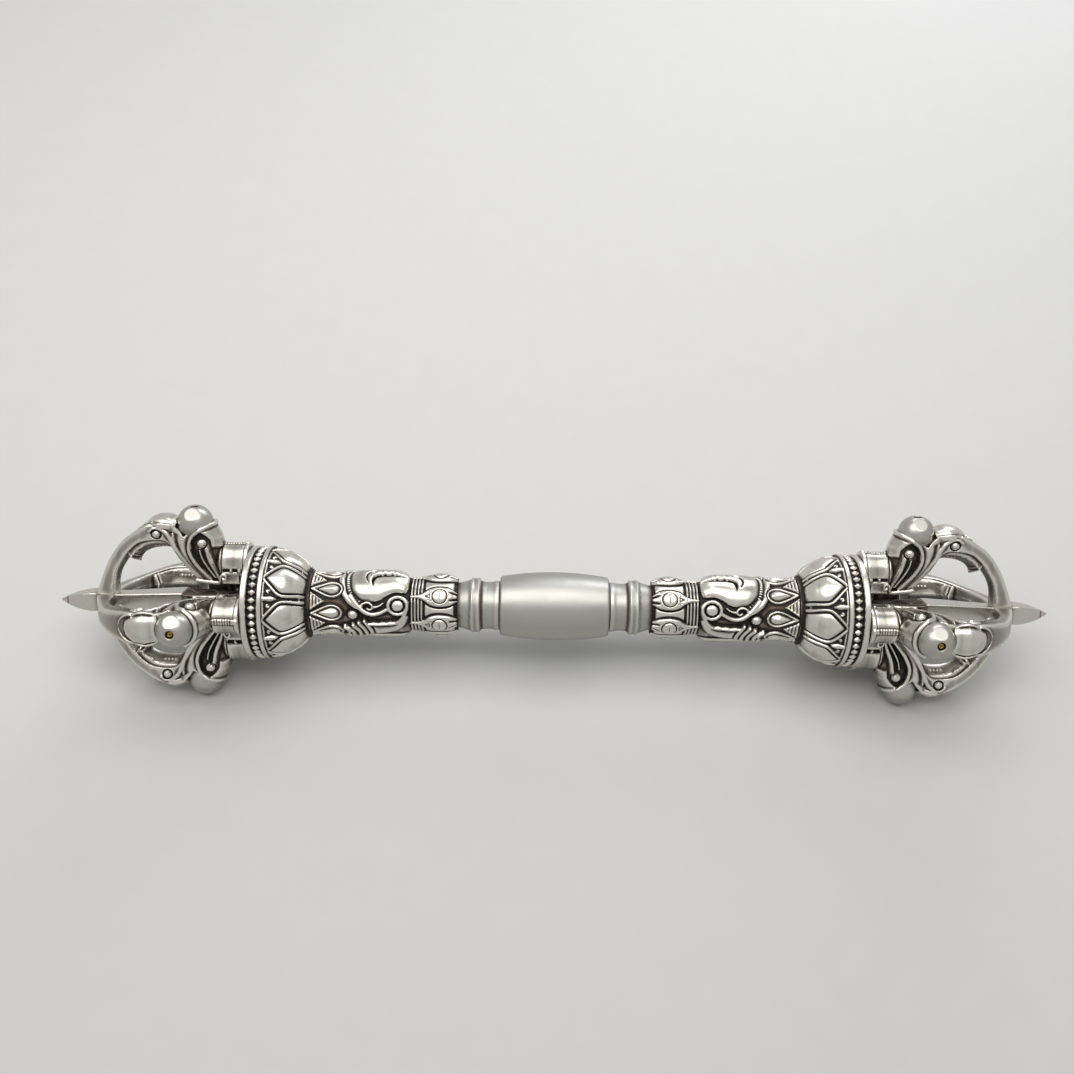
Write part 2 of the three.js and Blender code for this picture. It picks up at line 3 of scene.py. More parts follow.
import bpy
import numpy as np
from mathutils import Matrix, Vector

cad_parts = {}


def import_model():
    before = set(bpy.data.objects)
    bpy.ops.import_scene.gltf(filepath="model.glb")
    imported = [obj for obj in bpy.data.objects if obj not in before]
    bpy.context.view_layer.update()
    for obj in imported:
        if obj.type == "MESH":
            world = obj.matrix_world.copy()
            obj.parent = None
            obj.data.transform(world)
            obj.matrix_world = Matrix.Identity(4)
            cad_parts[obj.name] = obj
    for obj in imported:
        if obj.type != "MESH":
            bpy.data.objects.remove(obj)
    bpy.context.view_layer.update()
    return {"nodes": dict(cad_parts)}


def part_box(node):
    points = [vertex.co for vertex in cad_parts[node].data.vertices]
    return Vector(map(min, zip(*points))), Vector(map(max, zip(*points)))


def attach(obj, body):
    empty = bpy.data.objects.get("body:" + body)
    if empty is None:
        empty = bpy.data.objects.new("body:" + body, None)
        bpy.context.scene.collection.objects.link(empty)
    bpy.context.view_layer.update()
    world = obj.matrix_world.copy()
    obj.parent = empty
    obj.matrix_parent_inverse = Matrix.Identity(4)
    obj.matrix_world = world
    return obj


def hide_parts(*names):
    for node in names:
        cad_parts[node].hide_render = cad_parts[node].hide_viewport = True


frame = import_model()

# Long-handled five-pronged vajra, cast in white metal, on a pale floor. Lengths are in millimetres
# from the vajra's own long axis, outward along it from the middle of the grip. Both heads are cut
# once, as the right head, and the left one is its mirror image. Round the stem, places are given
# as elevations: degrees up from the horizontal on the side toward the camera.

MM = 0.001
PITCH = 0.12          # distance between neighbouring points of the carved sleeves
PRONG_PITCH = 0.125   # the same on the outer prongs
FAR = 0.45            # how much a wide hollow counts for the oxide, where a narrow one counts 1


def reach(name):
    """Inner and outer end of a right-hand piece along the axis"""
    low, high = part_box("right_" + name)
    return low.x / MM, high.x / MM


grip_low, grip_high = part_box("grip_barrel")
AXIS_HEIGHT = (grip_low.z + grip_high.z) / 2 / MM
GRIP_HALF = grip_high.x / MM
RING_FACE = reach("beaded_ring")[1]
BORE, RING_BORE = 2.2, 8.0   # radii of the hole for the rod, and of the ring's inside

# Finishes


def linear(hex_colour):
    """An sRGB hex colour as the linear colour that a socket takes"""
    parts = [int(hex_colour[i:i + 2], 16) / 255 for i in (1, 3, 5)]
    return [c / 12.92 if c <= 0.04045 else ((c + 0.055) / 1.055) ** 2.4 for c in parts] + [1.0]


def node(finish, kind, inputs=None, **settings):
    """Adds one node to a finish, with what feeds it and its settings"""
    made = finish.node_tree.nodes.new(kind)
    for key, value in settings.items():
        setattr(made, key, value)
    for key, value in (inputs or {}).items():
        if isinstance(value, bpy.types.NodeSocket):
            finish.node_tree.links.new(value, made.inputs[key])
        else:
            made.inputs[key].default_value = value
    return made


def blank_finish(name):
    """A finish with no nodes in it yet"""
    finish = bpy.data.materials.new(name)
    finish.use_nodes = True
    finish.node_tree.nodes.clear()
    return finish


def cast_metal(name, bright, film_and_painted_shade, brown, soot, rough, grain_mm, grain_depth, hollow):
    """White metal poured in a carved mould and buffed by hand. The buff leaves the ridges bright and
    smooth, a grey film on the flanks and flats is partly the metal's own film and partly painted shade,
    and the hollows keep a brown oxide that is nearly black at the bottom. Hollow is the depth in
    millimetres at which the oxide starts to hold."""
    finish = blank_finish(name)
    place = node(finish, "ShaderNodeTexCoord").outputs["Object"]
    depth = node(finish, "ShaderNodeAttribute", attribute_name="recess").outputs["Fac"]
    # Patches a few millimetres across, and specks, where more or less oxide was left
    patch = node(finish, "ShaderNodeTexNoise", {
        "Vector": place, "Scale": 1 / (3.2 * MM), "Detail": 3.0, "Roughness": 0.55}).outputs["Fac"]
    speck = node(finish, "ShaderNodeTexNoise", {
        "Vector": place, "Scale": 1 / (0.6 * MM), "Detail": 2.0}).outputs["Fac"]
    uneven = node(finish, "ShaderNodeMath", {0: patch, 1: speck}, operation="MULTIPLY").outputs[0]
    shift = node(finish, "ShaderNodeMapRange", {
        "Value": uneven, "From Min": 0.12, "From Max": 0.42,
        "To Min": -0.25 * hollow, "To Max": 0.3 * hollow}).outputs[0]
    held = node(finish, "ShaderNodeMath", {0: depth, 1: shift}, operation="ADD").outputs[0]
    # Shares of film (partly painted shade), soot and oxide. Each begins at one depth and is full at
    # another.
    film_and_shade_share, sooted, covered = [node(finish, "ShaderNodeMapRange", {
        "Value": below, "From Min": start * hollow, "From Max": full * hollow, "To Max": most},
        interpolation_type="SMOOTHSTEP").outputs[0] for below, start, full, most in (
            (depth, -1.5, 0.5, 0.9), (held, 1.0, 3.2, 1.0), (held, 0.2, 1.9, 1.0))]
    # Painted shade: flanks and flats take the darker film colour, so they read as turned away from the
    # light
    metal = node(finish, "ShaderNodeMix", {
        0: film_and_shade_share, 6: linear(bright), 7: linear(film_and_painted_shade)}, data_type="RGBA").outputs[2]
    oxide = node(finish, "ShaderNodeMix", {
        0: sooted, 6: linear(brown), 7: linear(soot)}, data_type="RGBA").outputs[2]
    colour = node(finish, "ShaderNodeMix", {0: covered, 6: metal, 7: oxide}, data_type="RGBA").outputs[2]
    gloss = node(finish, "ShaderNodeMapRange", {
        "Value": covered, "To Min": rough, "To Max": 0.58}).outputs[0]
    smear = node(finish, "ShaderNodeMapRange", {
        "Value": patch, "From Min": 0.3, "From Max": 0.7, "To Min": -0.04, "To Max": 0.05}).outputs[0]
    roughness = node(finish, "ShaderNodeMath", {0: gloss, 1: smear}, operation="ADD").outputs[0]
    metallic = node(finish, "ShaderNodeMapRange", {
        "Value": covered, "To Min": 1.0, "To Max": 0.4}).outputs[0]
    grain = node(finish, "ShaderNodeTexNoise", {
        "Vector": place, "Scale": 1 / (grain_mm * MM), "Detail": 3.0, "Roughness": 0.6}).outputs["Fac"]
    bump = node(finish, "ShaderNodeBump", {
        "Height": grain, "Distance": grain_depth * MM}).outputs["Normal"]
    shader = node(finish, "ShaderNodeBsdfPrincipled", {
        "Base Color": colour, "Roughness": roughness, "Metallic": metallic, "Normal": bump})
    node(finish, "ShaderNodeOutputMaterial", {"Surface": shader.outputs[0]})
    return finish


# For each slot: the finish; the colours of its bare metal, film (partly painted shade on the flanks),
# brown and black oxide; how rough it is; and in millimetres the size and depth of its grain, and the
# depth at which oxide starts to hold
FINISHES = {slot: cast_metal(*recipe) for slot, *recipe in (
    # Heads, cast and buffed by hand
    ("cast_silver", "buffed_cast_silver",
     "#cdcac2", "#6c685f", "#4d3626", "#15110d", 0.27, 0.5, 0.009, 0.045),
    # Crest balls, rubbed by handling
    ("ball_silver", "polished_ball_silver",
     "#b0aea8", "#827f78", "#43362a", "#1a1612", 0.33, 0.8, 0.012, 0.05),
    # Grip and necks, turned and brushed
    ("satin_silver", "satin_turned_silver",
     "#babab6", "#a09f99", "#5a4a38", "#2a2119", 0.42, 0.16, 0.016, 0.08),
    # Plates behind the prongs, dark and dull all over
    ("dark_seat", "blackened_seat_plate",
     "#5a5248", "#4a4239", "#33281d", "#15110d", 0.5, 0.4, 0.03, 0.05),
    # Rod through the stem, drawn and bare
    ("inner_rod", "drawn_steel_rod",
     "#8a8780", "#7a776f", "#4a4238", "#2a2620", 0.42, 0.3, 0.01, 0.05),
    # Cores of the crest balls, worn at the end
    ("brass_pin", "worn_brass_pin",
     "#b2904c", "#8a6c34", "#4a3315", "#22160a", 0.34, 0.25, 0.015, 0.05))}

# Shapes in numbers


def ease(value, start, end):
    """0 up to start, 1 from end on, and a smooth rise between"""
    t = np.clip((value - start) / (end - start), 0, 1)
    return t * t * (3 - 2 * t)


def arch(distance, half=1.0):
    """Round-topped ridge: 1 on its line, 0 from half a width away"""
    return np.sqrt(np.clip(1 - (distance / half) ** 2, 0, 1))


def dome(share):
    """Round-shouldered rise: 0 where the share is 0, and 1 where it is 1"""
    return arch(1 - np.clip(share, 0, 1))


def raised(radius, area, least):
    """The radius, brought up to at least so much in one area"""
    return np.where(area, np.maximum(radius, least), radius)


def lowered(radius, area, most):
    """The radius, brought down to at most so much in one area"""
    return np.where(area, np.minimum(radius, most), radius)


def merge(first, second, soft):
    """The lower of two fields, with the corner where they meet filled by a soft fillet"""
    share = np.clip(0.5 + 0.5 * (second - first) / soft, 0, 1)
    return second + (first - second) * share - soft * share * (1 - share)


def flow(points, steps=7):
    """A smooth line through given points"""
    p = np.array(points, float)
    p = np.vstack([2 * p[0] - p[1], p, 2 * p[-1] - p[-2]])
    t = np.linspace(0, 1, steps, endpoint=False)[:, None]
    line = [0.5 * (2 * b + (c - a) * t + (2 * a - 5 * b + 4 * c - d) * t ** 2
            + (3 * b - a - 3 * c + d) * t ** 3) for a, b, c, d in zip(p, p[1:], p[2:], p[3:])]
    return np.vstack(line + [p[-2:-1]])


def along(line, *place):
    """Distance from every point to a line, and the share of its length at the nearest spot"""
    steps = np.linalg.norm(np.diff(line, axis=0), axis=1)
    total = steps.sum()
    best = np.full(place[0].shape, np.inf)
    share = np.zeros(place[0].shape)
    done = 0.0
    for start, end, step in zip(line, line[1:], steps):
        to = end - start
        t = sum((p - a) * b for p, a, b in zip(place, start, to)) / max(step ** 2, 1e-12)
        t = np.clip(t, 0, 1)
        gap = sum((p - a - t * b) ** 2 for p, a, b in zip(place, start, to))
        near = gap < best
        best = np.where(near, gap, best)
        share = np.where(near, (done + t * step) / total, share)
        done += step
    return np.sqrt(best), share


def outline(corners, x, y):
    """Distance to a closed outline, negative inside it"""
    ring = np.vstack([corners, corners[:1]])
    inside = np.zeros(x.shape, bool)
    for (ax, ay), (bx, by) in zip(ring, ring[1:]):
        if ay != by:
            inside ^= ((ay > y) != (by > y)) & (x < (bx - ax) * (y - ay) / (by - ay) + ax)
    return np.where(inside, -1, 1) * along(ring, x, y)[0]


# Meshes


def normals_of(points, faces):
    """Direction straight out of the surface at each point"""
    corners = points[faces]
    face = np.cross(corners[:, 2] - corners[:, 0], corners[:, 3] - corners[:, 1])
    total = np.zeros_like(points)
    for k in range(4):
        for axis in range(3):
            total[:, axis] += np.bincount(faces[:, k], face[:, axis], len(points))
    return total / np.maximum(np.linalg.norm(total, axis=1), 1e-12)[:, None]


def relaxed(points, faces, rounds):
    """Every point moved to the middle of its neighbours, so many times over"""
    a = np.concatenate([faces.ravel(), np.roll(faces, -1, 1).ravel()])
    b = np.concatenate([np.roll(faces, -1, 1).ravel(), faces.ravel()])
    count = np.bincount(a, minlength=len(points))
    for _ in range(rounds):
        points = np.stack([np.bincount(a, points[b, k], len(points)) / count for k in range(3)], 1)
    return points


def hollows(points, faces):
    """How far each point lies below its surroundings, close by and further off"""
    out = normals_of(points, faces)
    near = relaxed(points, faces, 10)
    far = relaxed(near, faces, 35)
    return ((near - points) * out).sum(1) + FAR * ((far - points) * out).sum(1)


def skin(field, low, pitch):
    """Closed mesh of quads round the negative part of a field on a regular grid"""
    unit = np.eye(3, dtype=int)
    inside = field < 0
    count = sum(inside[i:inside.shape[0] - 1 + i, j:inside.shape[1] - 1 + j,
                       k:inside.shape[2] - 1 + k].astype(np.int8)
                for i in (0, 1) for j in (0, 1) for k in (0, 1))
    crossed = (count > 0) & (count < 8)
    number = np.full(crossed.shape, -1, np.int64)
    number[crossed] = np.arange(crossed.sum())
    cells = np.argwhere(crossed)
    total = np.zeros((len(cells), 3))
    hits = np.zeros(len(cells))
    for axis in range(3):
        b, c = [k for k in range(3) if k != axis]
        for i in (0, 1):
            for j in (0, 1):
                corner = i * unit[b] + j * unit[c]
                start = field[tuple((cells + corner).T)]
                end = field[tuple((cells + corner + unit[axis]).T)]
                cross = (start < 0) != (end < 0)
                t = np.where(cross, start / np.where(cross, start - end, 1), 0)
                total += np.where(cross[:, None], corner + t[:, None] * unit[axis], 0)
                hits += cross
    points = (cells + total / hits[:, None]) * pitch + low
    quads = []
    for axis in range(3):
        first = np.take(inside, range(inside.shape[axis] - 1), axis)
        second = np.take(inside, range(1, inside.shape[axis]), axis)
        back, down = unit[(axis + 1) % 3], unit[(axis + 2) % 3]
        for here, there, flip in ((first, second, False), (second, first, True)):
            edge = np.argwhere(here & ~there)
            quad = np.stack([number[tuple((edge - s).T)]
                             for s in (back + down, down, 0 * down, back)], 1)
            quads.append(quad[:, ::-1] if flip else quad)
    return points, np.vstack(quads)


def wound(points, faces):
    """The faces, turned outward"""
    a, b, c, d = points[faces].transpose(1, 0, 2)
    volume = (a * (np.cross(b, c) + np.cross(c, d))).sum()
    return faces if volume > 0 else faces[:, ::-1]


def add(name, data):
    """A new object in the scene"""
    made = bpy.data.objects.new(name, data)
    bpy.context.scene.collection.objects.link(made)
    return made


def piece(name, finish, points, faces, recess, ends=()):
    """A finished piece that stands for the CAD node of the same name. Recess is each point's depth
    below its surroundings, and ends are faces of many sides."""
    placed = points * MM
    placed[:, 2] += AXIS_HEIGHT * MM
    mesh = bpy.data.meshes.new(name + "_cast")
    mesh.from_pydata(placed.tolist(), [], wound(points, faces).tolist() + list(ends))
    mesh.attributes.new("recess", "FLOAT", "POINT").data.foreach_set(
        "value", np.asarray(recess, np.float32))
    mesh.shade_smooth()
    mesh.materials.append(FINISHES[finish])
    made = add(name + "_cast", mesh)
    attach(made, "root")
    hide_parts(name)
    return made


def both_heads(name, finish, points, faces, recess, ends=()):
    """A piece of the right head, and its mirror image on the left"""
    return (piece("right_" + name, finish, points, faces, recess, ends),
            piece("left_" + name, finish, points * [-1, 1, 1], faces, recess, [end[::-1] for end in ends]))


def strip(rows, columns, closed_rows):
    """Quads over a grid of points whose columns run round a ring"""
    i = np.arange(rows if closed_rows else rows - 1)[:, None]
    j = np.arange(columns)[None, :]
    a, b = i * columns + j, i * columns + (j + 1) % columns
    up = ((i + 1) % rows) * columns
    return np.stack([a, b, up + (j + 1) % columns, up + j], -1).reshape(-1, 4)


def blurred(height, rounds):
    """A grid of heights, softened so many times over. Its columns run round a ring."""
    for _ in range(rounds):
        height = (np.roll(height, 1, 1) + 2 * height + np.roll(height, -1, 1)) / 4
        padded = np.vstack([height[:1], height, height[-1:]])
        height = (padded[:-2] + 2 * padded[1:-1] + padded[2:]) / 4
    return height


def carved_sleeve(start, end, girth, radius_at, bore):
    """Ring-shaped casting whose outside is a radius at every place along and round the axis. Girth
    is the radius at which its points are spaced, and the bore counts as a hollow 0.1 mm deep."""
    rows = int(round((end - start) / PITCH)) + 1
    columns = int(round(2 * math.pi * girth / PITCH))
    # Cut twice as fine as the mesh and then softened, so slanting edges come out even
    x, turn = np.meshgrid(np.linspace(start, end, 2 * rows - 1),
                          np.linspace(0, 2 * math.pi, 2 * columns, endpoint=False), indexing="ij")
    radius = blurred(radius_at(x - start, turn, end - start), 2)[::2, ::2]
    x, turn = x[::2, ::2], turn[::2, ::2]
    near, far = blurred(radius, 12), blurred(radius, 60)
    recess = (near - radius) + FAR * (far - radius)
    radius = np.vstack([radius, np.full((2, columns), bore)])
    x = np.vstack([x, np.full((1, columns), end), np.full((1, columns), start)])
    turn = np.vstack([turn, turn[:2]])
    points = np.stack([x, -radius * np.cos(turn), radius * np.sin(turn)], -1).reshape(-1, 3)
    recess = np.vstack([recess, np.full((2, columns), 0.1)]).ravel()
    return points, strip(rows + 2, columns, True), recess


def revolved(rings, sides):
    """Points of rings, each a (place, radius), about the second of three directions"""
    place, radius = np.array(rings, float).T
    turn = np.linspace(0, 2 * math.pi, sides, endpoint=False)
    return np.stack([np.outer(radius, np.cos(turn)), np.repeat(place[:, None], sides, 1),
                     np.outer(radius, np.sin(turn))], -1).reshape(-1, 3)


def turned_ring(x, radius, recess, sides):
    """A radius along the axis, revolved about it. The bore counts as a hollow 0.2 mm deep."""
    rings = np.vstack([np.stack([x, radius], 1), [[x[-1], BORE], [x[0], BORE]]])
    points = revolved(rings, sides)[:, [1, 0, 2]] * [1, -1, 1]
    return points, strip(len(rings), sides, True), np.repeat(np.append(recess, [0.2, 0.2]), sides)


def wrapped(turn, elevation, period):
    """Angle from the nearest of a row of equally spaced elevations, all in degrees"""
    return (np.degrees(turn) - elevation + period / 2) % period - period / 2


def soft_ends(x, length, edge=0.22):
    """How much a casting's outside rounds off at its two ends"""
    return edge * (1 - dome(np.minimum(x, length - x) / edge))


# Grip and necks

MIDDLE_RADIUS, END_RADIUS, LIP = 6.05, 5.2, 0.35


def barrel():
    """Turned sleeve that swells to its middle, with a small rounded lip at each end"""
    x = np.linspace(-GRIP_HALF, GRIP_HALF, 121)
    radius = END_RADIUS + (MIDDLE_RADIUS - END_RADIUS) * (1 - (x / GRIP_HALF) ** 2)
    gap = GRIP_HALF - np.abs(x)
    radius -= LIP * (1 - dome(gap / LIP))
    seam = np.where(gap < 0.25, 0.06, 0.0)
    piece("grip_barrel", "satin_silver", *turned_ring(x, radius, seam, sides=160))


# Radius of the neck along its length, from the grip outward
NECK_LINE = [(0, 4.1), (0.15, 4.35), (0.7, 4.38), (1.2, 4.22), (2.2, 4.15), (3.0, 4.2), (3.35, 4.3),
             (3.5, 4.6), (3.62, 4.82), (3.8, 4.87), (3.95, 4.78), (4.15, 4.74), (4.5, 4.74),
             (4.7, 4.78), (4.85, 4.9), (5.0, 4.86), (5.12, 4.66), (5.3, 4.5), (5.9, 4.32),
             (6.6, 4.12), (7.1, 3.98), (7.43, 3.9)]


def neck():
    """Turned neck: waist, bead between two fine edges, and a cone down to the collar"""
    start, end = reach("neck_ring")
    length = end - start
    x = np.linspace(0, length, 110)
    radius = np.interp(x * NECK_LINE[-1][0] / length, *np.array(NECK_LINE).T)
    radius = np.convolve(np.pad(radius, 2, "edge"), [0.1, 0.22, 0.36, 0.22, 0.1], "valid")
    local = np.convolve(np.pad(radius, 9, "edge"), np.ones(19) / 19, "valid") - radius
    stain = 0.1 * ease(x, length - 1.4, length)
    both_heads("neck_ring", "satin_silver",
               *turned_ring(x + start, radius, local * 1.2 + stain, sides=144))


# Jewel collar

# Number of cartouches, elevation of one of them, and place and radius of their studs
CARTOUCHES, CARTOUCHE_AT, STUD_PLACE, STUD_RADIUS = 6, 80, 3.0, 1.27
# Radius at which lengths round the collar are measured, and half the way between two cartouches
COLLAR_ROUND, HALF_WAY = 5.3, 2.775
# Half-width of a cartouche along its length, from the neck to its long point
CARTOUCHE = [(0.0, 1.0), (0.35, 1.2), (0.7, 1.48), (1.6, 1.88), (3.0, 2.06), (4.0, 1.92), (4.8, 1.6),
             (5.5, 1.06), (6.2, 0.58), (7.2, 0.32), (8.4, 0.26)]


def collar_radius(x, turn, length):
    """Six lozenge cartouches with slotted round studs, smooth pads between them, a striped core"""
    s = np.radians(wrapped(turn, CARTOUCHE_AT, 360 / CARTOUCHES)) * COLLAR_ROUND
    floor = np.interp(x, [0, 0.5, 2, 5.6, 6.2, length], [4.0, 4.15, 4.35, 4.3, 4.3, 4.35])
    radius = floor + 0.45 * arch((x - 5.85) % 0.58 - 0.29, 0.22) * ease(x, 5.75, 5.9)
    half = np.interp(x, *flow(CARTOUCHE, 4).T)
    edge = half - np.abs(s)
    # Pad between two cartouches
    pad = HALF_WAY - half - 0.16
    across = arch(HALF_WAY - np.abs(s), np.maximum(pad, 0.01))
    ends = arch(x - 3.1, 2.55)
    radius = raised(radius, (edge < -0.16) & (ends > 0), 4.3 + 0.55 * np.sqrt(across * ends))
    # Cartouche: convex face with rounded edges, raised round its stud
    away = np.hypot(x - STUD_PLACE, s)
    face = 5.2 - 0.05 * s ** 2 + 0.26 * np.exp(-(away / 1.9) ** 4)
    face = face - 0.25 * ease(x, 4.6, 7.6) - 0.3 * ease(-x, -1.3, 0)
    face -= 0.4 * (1 - dome(edge / 0.42))
    # Three short petals at its root
    for side in (-1, 1):
        face -= 0.6 * np.clip(1 - x / 1.5, 0, 1) ** 0.5 * arch(s - side * (0.5 + 0.2 * x), 0.26)
    # Triangle and dots cut between the stud and the long point
    triangle = outline(np.array([(4.75, 0.36), (4.75, -0.36), (5.5, 0.0)]), x, s)
    face -= 0.16 * arch(triangle, 0.13)
    for place, side in ((4.45, 0.85), (4.95, 0.68), (6.1, 0.0), (1.35, 1.3)):
        face -= 0.18 * arch(np.hypot(x - place, np.abs(s) - side), 0.14)
    face -= 0.3 * arch(away - STUD_RADIUS, 0.13)
    face = np.where(away < STUD_RADIUS - 0.04, 5.38 + 0.28 * arch(away, STUD_RADIUS * 1.06)
                    - 0.14 * arch(x - STUD_PLACE, 0.1) * (away < 1.0), face)
    return raised(radius, edge > 0, face) - soft_ends(x, length)


# Mask sleeve

# Radii at which lengths round the stem are measured, at the masks and at the drops
MASK_ROUND, DROP_ROUND = 6.1, 5.9
# Elevations of a brow's middle and of the hollow between vine and arm, and degrees from drop to drop
BROW_AT, HOLLOW_AT, DROP_STEP = 110, 45.5, 45
# Half outline of a drop: place along the sleeve, and distance from its middle round the stem
DROP_LINE = [(11.55, 0.0), (11.75, 0.72), (12.3, 1.28), (13.1, 1.6), (13.9, 1.58), (14.8, 1.25),
             (15.7, 0.8), (16.5, 0.4), (17.3, 0.08)]
# Brow, and the slot and crescent cut in its upper flank. The second length runs round the stem from
# the brow's middle.
BROW = flow([(0.25, -1.6), (0.8, -2.75), (2.4, -2.8), (3.6, -3.3), (4.9, -4.25), (6.6, -4.75),
             (8.2, -4.45), (9.3, -3.6), (10.1, -2.3), (10.5, -0.3), (10.6, 1.8), (10.2, 3.8), (9.0, 4.7),
             (6.5, 5.0), (3.5, 4.9), (1.4, 4.3), (0.5, 2.8), (0.15, 0.6)], 4)
SLOT = flow([(0.3, 0.85), (1.6, 0.95), (3.4, 1.0), (5.0, 0.9), (6.05, 0.45), (6.4, -0.5), (6.3, -1.8)])
CRESCENT = flow([(6.1, 2.2), (6.9, 2.0), (7.5, 1.2), (7.55, 0.1), (7.1, -0.9)])
# Flower, pearl, stalk, arm, vine and curls. The second length runs round the stem from the hollow.
FLOWER, PEARL = (1.97, 1.6), (9.75, -0.3)
STALK = flow([(-0.9, 3.05), (-0.2, 2.15), (0.45, 0.6), (1.2, -0.9), (2.3, -1.9), (4.0, -2.15),
              (5.6, -2.3), (7.2, -2.2)])
ARM = flow([(0.8, -0.9), (1.7, -2.5), (3.2, -3.5), (4.8, -3.95), (6.4, -4.1), (7.8, -4.2)])
VINE = flow([(3.7, 0.9), (5.0, 0.15), (6.2, -0.15), (7.3, 0.1), (8.3, 0.85), (9.2, 1.9), (10.2, 3.3)])
CURL = flow([(7.6, 0.3), (8.25, 1.0), (8.1, 1.75), (7.3, 2.1), (6.5, 1.75), (6.35, 1.1), (6.8, 0.75),
             (7.25, 1.05)])
LEAFLET = flow([(6.35, 1.2), (5.7, 1.3), (5.1, 1.55), (4.5, 2.05)])


def laid(radius, floor, x, v, line, start, end, height):
    """Lays a band along a line: half-width at its start and its end, height above the floor"""
    gap, share = along(line, x, v)
    wide = start + (end - start) * share
    return raised(radius, gap < wide, floor + height * arch(gap, wide))


def with_brow(radius, floor, x, s):
    """Adds a long domed brow with a jagged crest, a slot and a crescent, and a rim and cord round it"""
    gap, share = along(np.vstack([BROW, BROW[:1]]), x, s)
    gap = gap * np.where(outline(BROW, x, s) < 0, -1, 1)
    brow = 5.0 + 1.17 * dome(-gap / 3.2) ** 0.8
    crest = arch(s - 2.45, 1.1) * ease(x, 1.9, 2.6) * ease(-x, -7.3, -6.4)
    jags = np.cos(x * 5.6) + 0.7 * np.cos(x * 9.3 + 1.2)
    brow += 0.16 * crest * (1 + 0.35 * jags)
    cut, place = along(SLOT, x, s)
    wide = np.interp(place, [0, 0.12, 0.3, 0.62, 0.8, 1], [0.15, 0.34, 0.55, 0.62, 0.4, 0.05])
    wide = wide + np.where(s > 1.0, 0.1 * jags * ease(x, 1.8, 2.6), 0)
    brow -= ease(wide - cut, 0, 0.3)
    cut, place = along(CRESCENT, x, s)
    brow -= 0.6 * ease(0.3 - 0.2 * place - cut, 0, 0.2)
    radius = raised(radius, gap < 0, brow)
    # Serrated rim round the brow's outer end, with a plain cord outside it
    outer = ease(x, 7.7, 8.5)
    tooth = arch((share * 33.2 + 0.26) % 0.52 - 0.26, 0.2)
    rim = 5.2 + (0.12 + 0.3 * tooth) * arch(gap - 0.3, 0.42)
    radius = np.where((gap > -0.12) & (gap < 0.72) & (outer > 0.5), np.maximum(rim, 5.05), radius)
    cord = floor + 0.85 * outer * arch(gap - 1.35, 0.62)
    return raised(radius, (gap > 0.73) & (gap < 1.97), cord)


def with_arm(radius, floor, x, v):
    """Adds an arm and its paw with four thick claws"""
    radius = laid(radius, floor, x, v, ARM, 0.7, 1.95, 0.9)
    heel = arch(np.hypot((x - 8.6) / 2.6, (v + 5.1) / 1.9))
    radius = np.maximum(radius, floor + 0.95 * heel ** 0.7)
    for root, wrist, knuckle, tip, wide in (
            ((6.75, -5.4), (6.6, -4.2), (6.95, -3.0), (7.75, -1.5), 0.55),
            ((7.75, -6.0), (7.55, -4.7), (7.85, -3.3), (8.75, -1.95), 0.58),
            ((8.9, -6.2), (8.6, -4.9), (8.85, -3.6), (9.75, -2.5), 0.56),
            ((10.0, -5.9), (9.75, -4.9), (10.0, -3.9), (11.2, -3.1), 0.54)):
        edge, place = along(flow([root, wrist, knuckle, tip]), x, v)
        wide = wide - 0.18 * place
        radius = lowered(radius, edge < wide + 0.13, 5.3)
        radius = raised(radius, edge < wide, floor + 0.15 + 0.97 * arch(edge, wide))
    return radius


def with_flower(radius, x, v):
    """Adds a flower stud in its round frame"""
    dx, dv = x - FLOWER[0], v - FLOWER[1]
    away = np.hypot(dx, dv)
    petals = np.cos(11 * np.arctan2(dv, dx))
    radius = lowered(radius, away < 2.12, 4.95)
    hoop = np.where(away > 1.24 + 0.07 * petals, 5.1 + 0.85 * arch(away - 1.62, 0.46), 5.1)
    stud = 5.62 + 0.36 * arch(away, 1.12) - 0.08 * arch(dx, 0.1)
    radius = raised(radius, away < 2.06, hoop)
    return np.where(away < 1.06, stud, radius)


def with_vine(radius, floor, x, v):
    """Adds the stalk round the frame, the vine with its curls and pearl, and veins in the hollow"""
    edge = along(STALK, x, v)[0]
    ragged = 0.44 + 0.06 * np.sin(x * 4.3) * ease(x, 1.8, 3) - 0.12 * ease(x, 5.5, 7.2)
    radius = raised(radius, edge < ragged, floor + arch(edge, ragged))
    for line, start, end, height in (
            (VINE, 0.46, 0.62, 0.95), (CURL, 0.42, 0.24, 0.85), (LEAFLET, 0.36, 0.16, 0.7)):
        radius = laid(radius, floor, x, v, line, start, end, height)
    away = np.hypot(x - PEARL[0], v - PEARL[1])
    radius = lowered(radius, away < 1.3, 4.85)
    radius = raised(radius, away < 1.0, 4.95 + 1.1 * arch(away))
    vein = arch((x - 0.6 * v + 0.22) % 0.44 - 0.22, 0.14) * ease(-v, 0.3, 0.7) * ease(v, -1.7, -1.3)
    return raised(radius, (x > 3) & (x < 7), floor + 0.16 * vein)


